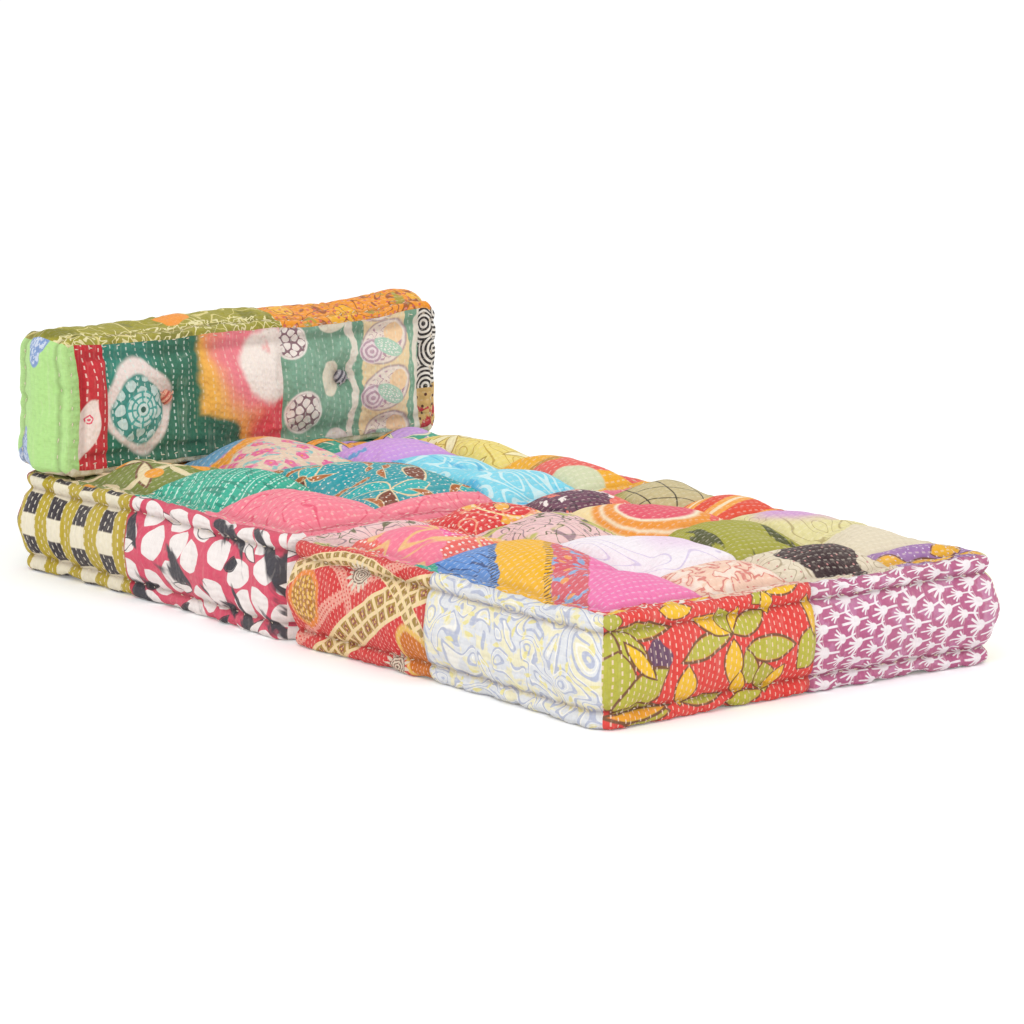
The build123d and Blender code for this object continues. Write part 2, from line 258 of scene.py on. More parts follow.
class EffectKit:
    """Builds each shader node group once and hands it out.

    A pair of numbers ending in edge is where a form's edge begins and ends, as shares of its size. Each
    draw method takes the group's tree and its inputs by name, and gives its outputs in order.
    """

    leaf_edge = (0.0, 0.05)
    rim_edge = (0.012, 0.032)
    heart_edge = (0.16, 0.22)
    spot_edge = (0.9, 1.0)
    ring_edge = (-0.2, 0.2)
    stone_corner = (0.2, 0.75)
    stone_rounding = 0.34
    stone_edge = 0.03
    hand_sizes = ((0.0, 1.0), (0.5, 0.74))
    hand_sway = 0.5
    finger_angle = 0.23
    finger_edge = (0.026, 0.036)
    fingertip_edge = (0.32, 0.36)
    hand_spread = (1.2, 1.35)
    palm_edge = (0.11, 0.14)
    stem_edge = (0.022, 0.034)
    stem_end = (0.4, 0.46)
    line_edge = 0.12
    stripe_edge = 0.04
    row_wander = 0.06
    row_drift = 0.7
    row_offset = 0.618
    widest_row = 0.011
    thread_edge = (0.07, 0.12)
    stitch_end = (0.24, 0.28)
    weave_pitch = 0.0011
    weave_height = 0.00012
    crinkle_height = 0.0022
    slubs_per_metre = (900.0, 60.0, 1.0)
    crinkles_per_metre = (95.0, 70.0, 1.0)

    def __init__(self) -> None:
        """Starts with no group built."""
        self.built: dict[Effect, bpy.types.NodeTree] = {}

    def get(self, effect: Effect) -> bpy.types.NodeTree:
        """Gives an effect's node group.

        Args:
            effect: Which effect.

        Returns:
            Its group, built on the first call.
        """
        if effect not in self.built:
            name, inputs, outputs = effect.value
            tree = bpy.data.node_groups.new(name, "ShaderNodeTree")
            tree.interface.new_socket("Vector", in_out="INPUT", socket_type="NodeSocketVector")
            for label in inputs.split():
                tree.interface.new_socket(label, in_out="INPUT", socket_type="NodeSocketFloat")
            for label in outputs.split():
                tree.interface.new_socket(label, in_out="OUTPUT", socket_type="NodeSocketFloat")
            weaver = Weaver(tree)
            given = weaver.add("NodeGroupInput", {})
            results = getattr(self, f"draw_{effect.name.lower()}")(weaver, given)
            weaver.add("NodeGroupOutput", dict(zip(outputs.split(), results)))
            self.built[effect] = tree
        return self.built[effect]

    def place(self, weaver: Weaver, effect: Effect, vector: Wire, **sizes: float) -> dict[str, Wire]:
        """Places an effect in a material.

        Args:
            weaver: The material's tree.
            effect: Which effect.
            vector: Coordinates in metres.
            **sizes: The group's other inputs, by name.

        Returns:
            The group's outputs, by name.
        """
        inputs = {"Vector": vector, **sizes}
        return weaver.add("ShaderNodeGroup", inputs, node_tree=self.get(effect))

    def draw_sprigs(self, weaver: Weaver, given: dict[str, Wire]) -> tuple[Wire, ...]:
        """Leaves, petals or paisleys about scattered points: their fill, outline, heart and tone."""
        place = weaver.scaled(given["Vector"], given["Spacing"])
        cell = weaver.cells(place, given["Jitter"])
        offset = weaver.vector("SUBTRACT", place, cell["Position"])
        across, up = weaver.parts(offset)
        chance, tone = weaver.parts(cell["Color"])
        angle = weaver.maths("ARCTAN2", up, across) + chance * given["Spin"] * FULL_TURN
        half_sector = math.pi / given["Petals"]
        folded = weaver.maths("WRAP", angle, half_sector, half_sector * -1.0)
        reach = weaver.length(offset) / given["Reach"]
        along = reach * weaver.maths("COSINE", folded)
        aside = abs(reach * weaver.maths("SINE", folded) - along * along * given["Bend"])
        leaf = along * (1.0 - along) * 4.0 * given["Width"] - aside
        petal = weaver.maths("FLOOR", weaver.maths("FLOOR", angle / half_sector + 1.0) * 0.5)
        tone = weaver.maths("FRACT", weaver.maths("SINE", petal * 2.4 + tone * 40.0) * 43.7)
        fill = weaver.step(leaf, *self.leaf_edge)
        return fill, weaver.fall(abs(leaf), *self.rim_edge), weaver.fall(reach, *self.heart_edge), tone

    def draw_spots(self, weaver: Weaver, given: dict[str, Wire]) -> tuple[Wire, ...]:
        """Round spots about scattered points, and rings inside them."""
        place = weaver.scaled(given["Vector"], given["Spacing"])
        reach = weaver.cells(place, given["Jitter"])["Distance"] / given["Reach"]
        disc = weaver.fall(reach, *self.spot_edge)
        wave = weaver.maths("SINE", reach * given["Rings"] * FULL_TURN)
        return disc, weaver.step(wave, *self.ring_edge) * disc

    def draw_pebbles(self, weaver: Weaver, given: dict[str, Wire]) -> tuple[Wire, ...]:
        """Rounded stones with gaps between them."""
        place = weaver.scaled(given["Vector"], given["Spacing"])
        edge = weaver.cells(place, given["Jitter"], feature="DISTANCE_TO_EDGE")["Distance"]
        middle = weaver.cells(place, given["Jitter"])["Distance"]
        room = edge - weaver.step(middle, *self.stone_corner) * self.stone_rounding
        return (weaver.step(room, given["Gap"], given["Gap"] + self.stone_edge),)

    def draw_fans(self, weaver: Weaver, given: dict[str, Wire]) -> tuple[Wire, ...]:
        """Rows of open hands on stems, with smaller hands half a pitch and half a row on."""
        across, up = weaver.parts(given["Vector"])
        sway = weaver.noise(weaver.scaled(given["Vector"], given["Pitch"]), 0.0) * self.hand_sway
        aspect = given["Row"] / given["Pitch"]
        fan: Value = 0.0
        for shift, size in self.hand_sizes:
            x = weaver.maths("FRACT", across / given["Pitch"] + shift) - 0.5
            y = (weaver.maths("FRACT", up / given["Row"] + sway + shift) - 0.5) * aspect
            reach = weaver.maths("SQRT", x * x + y * y) / size
            angle = weaver.maths("ARCTAN2", y, x * -1.0)
            finger = abs(weaver.maths("PINGPONG", angle, self.finger_angle)) * reach
            finger = weaver.fall(finger, *self.finger_edge) * weaver.fall(abs(angle), *self.hand_spread)
            finger = finger * weaver.fall(reach, *self.fingertip_edge)
            stem = weaver.fall(abs(y / size), *self.stem_edge) * weaver.fall(abs(x), *self.stem_end)
            hand = weaver.maths("MAXIMUM", finger, weaver.fall(reach, *self.palm_edge))
            fan = weaver.maths("MAXIMUM", fan, weaver.maths("MAXIMUM", hand, stem))
        return (fan,)

    def draw_lines(self, weaver: Weaver, given: dict[str, Wire]) -> tuple[Wire, ...]:
        """Flowing drawn lines, like the level lines of a map."""
        cloud = weaver.noise(weaver.scaled(given["Vector"], given["Spacing"]), 1.0, 0.4)
        near = abs(weaver.maths("FRACT", cloud * given["Count"]) * 2.0 - 1.0)
        return (weaver.fall(near, given["Thickness"], given["Thickness"] + self.line_edge),)

    def draw_blotches(self, weaver: Weaver, given: dict[str, Wire]) -> tuple[Wire, ...]:
        """Blotches of dye with soft or torn edges."""
        cloud = weaver.noise(weaver.scaled(given["Vector"], given["Spacing"]), 4.0, 0.3)
        edge = 0.75 - given["Cover"] * 0.5
        return (weaver.step(cloud, edge - given["Softness"], edge + given["Softness"]),)

    def draw_stripes(self, weaver: Weaver, given: dict[str, Wire]) -> tuple[Wire, ...]:
        """Stripes along the second axis, which sway by a length over another."""
        across, _ = weaver.parts(given["Vector"])
        swing = weaver.noise(weaver.scaled(given["Vector"], given["Swing"]), 0.0) - 0.5
        place = (across + swing * given["Sway"]) / given["Pitch"]
        near = abs(weaver.maths("FRACT", place) - 0.5) * 2.0
        low, high = given["Share"] - self.stripe_edge, given["Share"] + self.stripe_edge
        return (weaver.fall(near, low, high),)

    def draw_stitches(self, weaver: Weaver, given: dict[str, Wire]) -> tuple[Wire, ...]:
        """Rows of running stitches along the first axis: their thread, and the cloth's pucker."""
        across, up = weaver.parts(given["Vector"])
        drift = weaver.noise(weaver.scaled(given["Vector"], self.row_wander), 1.0) - 0.5
        row = up / given["Pitch"] + drift * self.row_drift
        shift = weaver.maths("FRACT", weaver.maths("FLOOR", row) * self.row_offset)
        near = abs(weaver.maths("FRACT", row) - 0.5)
        widest = weaver.maths("MINIMUM", self.widest_row / given["Pitch"], 1.0)
        along = abs(weaver.maths("FRACT", across / given["Length"] + shift) - 0.5)
        thread = weaver.fall(near / widest, *self.thread_edge) * weaver.fall(along, *self.stitch_end)
        pucker = weaver.step(near, 0.0, 0.35) * weaver.step(along, 0.1, 0.5)
        return thread, pucker + weaver.step(near, 0.0, 0.45)

    def draw_cloth(self, weaver: Weaver, given: dict[str, Wire]) -> tuple[Wire, ...]:
        """Plain weave: its slubs as a tone, and its threads and crinkles as a height in metres."""
        across, up = weaver.parts(given["Vector"])
        threads = math.pi / self.weave_pitch
        warp = abs(weaver.maths("SINE", across * threads))
        weft = abs(weaver.maths("SINE", up * threads))
        slub = weaver.noise(weaver.vector("MULTIPLY", given["Vector"], self.slubs_per_metre), 1.0)
        stretched = weaver.vector("MULTIPLY", given["Vector"], self.crinkles_per_metre)
        crinkle = weaver.noise(stretched, 3.0, 0.6)
        return slub, warp * weft * self.weave_height + crinkle * self.crinkle_height

    def draw_wear(self, weaver: Weaver, given: dict[str, Wire]) -> tuple[Wire, ...]:
        """Fading by washing in broad patches, and rubbing in small ones."""
        broad = weaver.noise(weaver.scaled(given["Vector"], 0.11), 3.0)
        small = weaver.noise(weaver.scaled(given["Vector"], 0.006), 4.0)
        return weaver.step(broad, 0.3, 0.7), weaver.step(small, 0.52, 0.72)


KIT = EffectKit()


@dataclass(frozen=True)
class Print:
    """One colour printed on a cloth, in the form that the classes below give. An inlay needs none."""

    colour: str = ""
    turn: float = 0.0
    stretch: float = 1.0
    at: Place = (0.0, 0.0)

    def coordinates(self, weaver: Weaver, vector: Wire) -> Wire:
        """Moves the origin to the print's own place, then turns and stretches.

        Args:
            weaver: The material's tree.
            vector: The cloth's coordinates in metres.

        Returns:
            The print's coordinates in metres.
        """
        moved = weaver.vector("SUBTRACT", vector, (*self.at, 0.0))
        return weaver.vector("MULTIPLY", weaver.turned(moved, self.turn), (1.0, self.stretch, 1.0))

    def place(self, weaver: Weaver, vector: Wire) -> dict[str, Wire]:
        """Places the node group of this form of print, with the print's own sizes.

        Args:
            weaver: The material's tree.
            vector: The print's coordinates.

        Returns:
            The group's outputs, by name.
        """
        _, inputs, _ = self.effect.value
        sizes = {label: float(getattr(self, label.lower())) for label in inputs.split()}
        return KIT.place(weaver, self.effect, vector, **sizes)

    def mask(self, weaver: Weaver, vector: Wire) -> Wire:
        """Where the colour lies.

        Args:
            weaver: The material's tree.
            vector: The print's coordinates.

        Returns:
            1 on the print and 0 beside it: the group's first output, unless a form gives its own.
        """
        _, _, outputs = self.effect.value
        return self.place(weaver, vector)[outputs.split()[0]]

    def inlaid(self, weaver: Weaver, vector: Wire) -> Wire:
        """Where the print lies, on the coordinates of the cloth."""
        return self.mask(weaver, self.coordinates(weaver, vector))

    def lay(self, weaver: Weaver, vector: Wire, below: Value) -> Wire:
        """Prints over the colour below.

        Args:
            weaver: The material's tree.
            vector: The cloth's coordinates in metres.
            below: The colour so far.

        Returns:
            The colour with this print on it.
        """
        return weaver.mix(self.inlaid(weaver, vector), below, dye(self.colour))


@dataclass(frozen=True)
class Sprigs(Print):
    """Leaves, flowers or paisleys, with an outline and a heart in colours of their own."""

    effect = Effect.SPRIGS
    spacing: float = 0.085
    petals: int = 1
    reach: float = 0.5
    width: float = 0.3
    bend: float = 0.0
    jitter: float = 0.8
    spin: float = 1.0
    rim: str = ""
    heart: str = ""
    second: str = ""
    second_share: float = 0.4

    def lay(self, weaver: Weaver, vector: Wire, below: Value) -> Wire:
        """Prints the fill, then the outline and the heart.

        Args:
            weaver: The material's tree.
            vector: The cloth's coordinates in metres.
            below: The colour so far.

        Returns:
            The colour with the sprigs on it.
        """
        sprig = self.place(weaver, self.coordinates(weaver, vector))
        fill: Value = dye(self.colour)
        if self.second:
            other = weaver.maths("LESS_THAN", sprig["Tone"], self.second_share)
            fill = weaver.mix(other, fill, dye(self.second))
        colour = weaver.mix(sprig["Shape"], below, fill)
        if self.rim:
            colour = weaver.mix(sprig["Rim"], colour, dye(self.rim))
        if self.heart:
            colour = weaver.mix(sprig["Heart"], colour, dye(self.heart))
        return colour


@dataclass(frozen=True)
class Spots(Print):
    """Round spots, or rings where a count of them is given."""

    effect = Effect.SPOTS
    spacing: float = 0.016
    reach: float = 0.16
    rings: float = 0.0
    jitter: float = 0.6

    def mask(self, weaver: Weaver, vector: Wire) -> Wire:
        """Spots, or the rings inside them."""
        return self.place(weaver, vector)["Rings" if self.rings else "Disc"]


@dataclass(frozen=True)
class Pebbles(Print):
    """Rounded stones that leave gaps of the colour below."""

    effect = Effect.PEBBLES
    spacing: float = 0.04
    gap: float = 0.05
    jitter: float = 0.8


@dataclass(frozen=True)
class Lines(Print):
    """Flowing drawn lines."""

    effect = Effect.LINES
    spacing: float = 0.06
    count: float = 3.0
    thickness: float = 0.05


@dataclass(frozen=True)
class Blotches(Print):
    """Blotches of dye, from soft clouds to torn brush strokes."""

    effect = Effect.BLOTCHES
    spacing: float = 0.05
    cover: float = 0.3
    softness: float = 0.02


@dataclass(frozen=True)
class Fans(Print):
    """Rows of open hands on stems."""

    effect = Effect.FANS
    pitch: float = 0.04
    row: float = 0.024


@dataclass(frozen=True)
class Stripes(Print):
    """Stripes, straight or swaying."""

    effect = Effect.STRIPES
    pitch: float = 0.066
    share: float = 0.5
    sway: float = 0.0
    swing: float = 0.1


@dataclass(frozen=True)
class Checks(Stripes):
    """Squares where two sets of stripes cross."""

    def mask(self, weaver: Weaver, vector: Wire) -> Wire:
        """The crossings of the stripes with the same ones at a right angle."""
        return super().mask(weaver, vector) * super().mask(weaver, weaver.turned(vector, 90.0))


@dataclass(frozen=True)
class Spot(Print):
    """One field of colour at its own place: round, oval or lobed, with rings or an inlay in it."""

    reach: float = 0.05
    softness: float = 0.06
    rings: float = 0.0
    wobble: float = 0.08
    lobes: int = 0
    lobe_share: float = 0.2
    inlay: Print | None = None

    def mask(self, weaver: Weaver, vector: Wire) -> Wire:
        """The field, with a wavy edge.

        Args:
            weaver: The material's tree.
            vector: The print's coordinates.

        Returns:
            1 on the field and 0 beside it.
        """
        place = weaver.scaled(vector, self.reach)
        reach = weaver.length(place) + (weaver.noise(place, 3.0) - 0.5) * (2 * self.wobble)
        if self.lobes:
            across, up = weaver.parts(vector)
            wave = weaver.maths("COSINE", weaver.maths("ARCTAN2", up, across) * self.lobes)
            reach = reach / (wave * self.lobe_share + 1.0)
        disc = weaver.fall(reach, 1.0 - self.softness, 1.0 + self.softness)
        if self.rings:
            wave = weaver.maths("SINE", reach * (self.rings * FULL_TURN))
            disc = weaver.step(wave, *KIT.ring_edge) * disc
        if self.inlay:
            disc = disc * self.inlay.inlaid(weaver, vector)
        return disc


@dataclass(frozen=True)
class Arc(Print):
    """A curved band about its own place, plain or set with tiles."""

    reach: float = 0.1
    width: float = 0.02
    tile: float = 0.0
    share: float = 0.66
    softness: float = 0.0005
    tile_softness: float = 0.05

    def mask(self, weaver: Weaver, vector: Wire) -> Wire:
        """The band, or the tiles in it.

        Args:
            weaver: The material's tree.
            vector: The print's coordinates.

        Returns:
            1 on the band or its tiles and 0 beside them.
        """
        across, up = weaver.parts(vector)
        aside = weaver.length(vector) - self.reach
        half = self.width / 2
        band = weaver.fall(abs(aside), half - self.softness, half + self.softness)
        if not self.tile:
            return band
        low, high = self.share - self.tile_softness, self.share + self.tile_softness
        for way in (weaver.maths("ARCTAN2", up, across) * self.reach, aside):
            near = abs(weaver.maths("FRACT", way / self.tile) - 0.5) * 2.0
            band = band * weaver.fall(near, low, high)
        return band


@dataclass(frozen=True)
class Field(Print):
    """Everything between two straight edges, which may be wavy or torn."""

    low: float = -1.0
    high: float = -0.126
    wobble: float = 0.006
    grain: float = 0.03
    softness: float = 0.001
    inlay: Print | None = None

    def mask(self, weaver: Weaver, vector: Wire) -> Wire:
        """The field.

        Args:
            weaver: The material's tree.
            vector: The print's coordinates.

        Returns:
            1 on the field and 0 beside it.
        """
        across, _ = weaver.parts(vector)
        cloud = weaver.noise(weaver.scaled(vector, self.grain), 3.0) - 0.5
        across = across + cloud * (2 * self.wobble)
        field = weaver.step(across, self.low - self.softness, self.low + self.softness)
        field = field * weaver.fall(across, self.high - self.softness, self.high + self.softness)
        if self.inlay:
            field = field * self.inlay.inlaid(weaver, vector)
        return field


def blank_finish(name: str) -> tuple[bpy.types.Material, Weaver, bpy.types.Node]:
    """Starts a material.

    Args:
        name: Its name.

    Returns:
        The material, its tree and its shader.
    """
    material = bpy.data.materials.new(name)
    material.use_nodes = True
    return material, Weaver(material.node_tree), material.node_tree.nodes["Principled BSDF"]


@dataclass(frozen=True)
class Cotton:
    """A printed cotton: its ground colour, its prints from the lowest up, its quilting thread, and the
    painted shade in its creases.
    """

    ground: str
    prints: tuple[Print, ...] = ()
    thread: str = "f4ead8"
    thread_turn: float = 0.0
    stitch_pitch: float = 0.011
    stitch_length: float = 0.0105
    stitched: float = 0.3
    fading: float = 0.05
    rubbing: float = 0.1
    slubs: float = 0.06
    # How dark the painted shade goes in creases, at seams, along channels and round tufts.
    fold_shade_depth: float = 0.6
    pucker_height: float = 0.0007

    def material(self, name: str) -> bpy.types.Material:
        """Makes the cloth's material.

        Args:
            name: The material's name.

        Returns:
            The material.
        """
        material, weaver, shader = blank_finish(name)
        sheet = weaver.add("ShaderNodeUVMap", {}, uv_map="cloth")["UV"]
        solid = weaver.add("ShaderNodeTexCoord", {})["Object"]
        colour: Value = dye(self.ground)
        for layer in self.prints:
            colour = layer.lay(weaver, sheet, colour)
        weave = KIT.place(weaver, Effect.CLOTH, sheet)
        wear = KIT.place(weaver, Effect.WEAR, solid)
        rows = weaver.turned(sheet, self.thread_turn)
        sizes = {"Pitch": self.stitch_pitch, "Length": self.stitch_length}
        quilting = KIT.place(weaver, Effect.STITCHES, rows, **sizes)
        colour = weaver.mix(wear["Fade"] * self.fading, colour, dye("f6e9d8"))
        colour = weaver.mix(wear["Rub"] * self.rubbing, colour, dye("f6ead9"))
        colour = weaver.mix(weaver.step(weave["Tone"], 0.3, 0.7) * self.slubs, colour, dye("5a4a44"))
        colour = weaver.mix(quilting["Thread"] * self.stitched, colour, dye(self.thread))
        # Painted shade: the attribute read here marks creases, seams, channels and tuft dimples.
        fold_shade = weaver.add("ShaderNodeAttribute", {}, attribute_name="fold_shade")["Fac"]
        height = weave["Height"] + quilting["Pucker"] * self.pucker_height
        bump = weaver.add("ShaderNodeBump", {"Height": height, "Strength": 0.9, "Distance": 1.0})
        weaver.dress(shader, {
            # Painted shade: the base colour is multiplied towards 7a5a50 in those creases.
            "Base Color": weaver.mix(fold_shade * self.fold_shade_depth, colour, dye("7a5a50"), "MULTIPLY"),
            "Roughness": wear["Rub"] * 0.14 + 0.78,
            "Normal": bump["Normal"],
            "Sheen Weight": 0.06,
            "Sheen Roughness": 0.6,
            "Specular IOR Level": 0.22,
        })
        return material


@dataclass(frozen=True)
class Twine:
    """Twisted thread of knots and hand stitches."""

    light: str
    dark: str
    fibres_per_metre: float = 900.0

    def material(self, name: str) -> bpy.types.Material:
        """Makes the thread's material.

        Args:
            name: The material's name.

        Returns:
            The material.
        """
        material, weaver, shader = blank_finish(name)
        solid = weaver.add("ShaderNodeTexCoord", {})["Object"]
        inputs = {"Vector": solid, "Scale": self.fibres_per_metre, "Detail": 3.0, "Distortion": 0.5}
        fibre = weaver.add("ShaderNodeTexNoise", inputs)["Fac"]
        groove = weaver.add("ShaderNodeAttribute", {}, attribute_name="groove")["Fac"]
        # Painted shade: the colour goes to the dark twine in the grooves between the wraps, besides the
        # fibres' own tone.
        strand_and_groove_shade = weaver.step(fibre, 0.25, 0.6) * weaver.fall(groove, 0.05, 0.6)
        bump = weaver.add("ShaderNodeBump", {"Height": strand_and_groove_shade, "Strength": 0.6, "Distance": 0.0004})
        weaver.dress(shader, {
            "Base Color": weaver.mix(strand_and_groove_shade, dye(self.dark), dye(self.light)),
            "Roughness": strand_and_groove_shade * 0.2 + 0.7,
            "Normal": bump["Normal"],
            "Sheen Weight": 0.25,
        })
        return material


def blooms(*rows: tuple[float, float, float, int, float, str, float]) -> tuple[Sprigs, ...]:
    """Single flowers and leaves at their own places.

    Args:
        *rows: For each, its place, reach, count of petals, turn, colour and the petals' width.

    Returns:
        One print for each.
    """
    return tuple(
        Sprigs(colour, at=(x, y), reach=reach, petals=petals, turn=turn, width=width, spacing=1.0,
               jitter=0.0, spin=0.0, bend=0.12, rim="7d5236")
        for x, y, reach, petals, turn, colour, width in rows
    )


def nested(at: Place, *rings: tuple[str, float], **shape: float) -> tuple[Spot, ...]:
    """Fields laid one in another about one place, the widest first.

    Args:
        at: The place.
        *rings: Colour and reach of each.
        **shape: What else the fields share.

    Returns:
        One print for each.
    """
    return tuple(Spot(colour, at=at, reach=reach, **shape) for colour, reach in rings)


def arcs(at: Place, reach: float, *rows: tuple[str, float, float, float]) -> tuple[Arc, ...]:
    """Curved bands laid one on another, plain or set with tiles.

    Args:
        at: The middle of their curve.
        reach: Its radius.
        *rows: Colour, width, tile and the tile's share of each.

    Returns:
        One print for each.
    """
    return tuple(
        Arc(colour, at=at, reach=reach, width=width, tile=tile, share=share)
        for colour, width, tile, share in rows
    )


def paisley(x: float, y: float) -> tuple[Print, ...]:
    """One large paisley: a spiral at its foot, a mint band across it and a peach crown.

    Args:
        x: Its place along the cloth.
        y: Its place across it.

    Returns:
        Its prints, the lowest first.
    """
    drop = {"stretch": 1.42, "turn": -24.0, "lobes": 1, "lobe_share": 0.16}
    return (
        *nested((x, y), ("a98d97", 0.047), ("f6e6d8", 0.044), **drop),
        Spot("c09aa6", at=(x, y), reach=0.038, inlay=Lines(spacing=0.012, thickness=0.2), **drop),
        Spot("fbd5a8", at=(x + 0.026, y + 0.014), reach=0.018, stretch=1.1),
        Spot("f1dde0", at=(x - 0.02, y - 0.01), reach=0.02),
        Spot("c3a3b0", at=(x - 0.02, y - 0.01), reach=0.019, rings=2.5, wobble=0.18),
        Spot("b0d4bd", at=(x + 0.012, y - 0.006), reach=0.027, stretch=2.1, turn=28.0),
        Spot("f4f1e6", at=(x + 0.012, y - 0.006), reach=0.023, stretch=2.3, turn=28.0,
             inlay=Spots(spacing=0.007, reach=0.3)),
    )


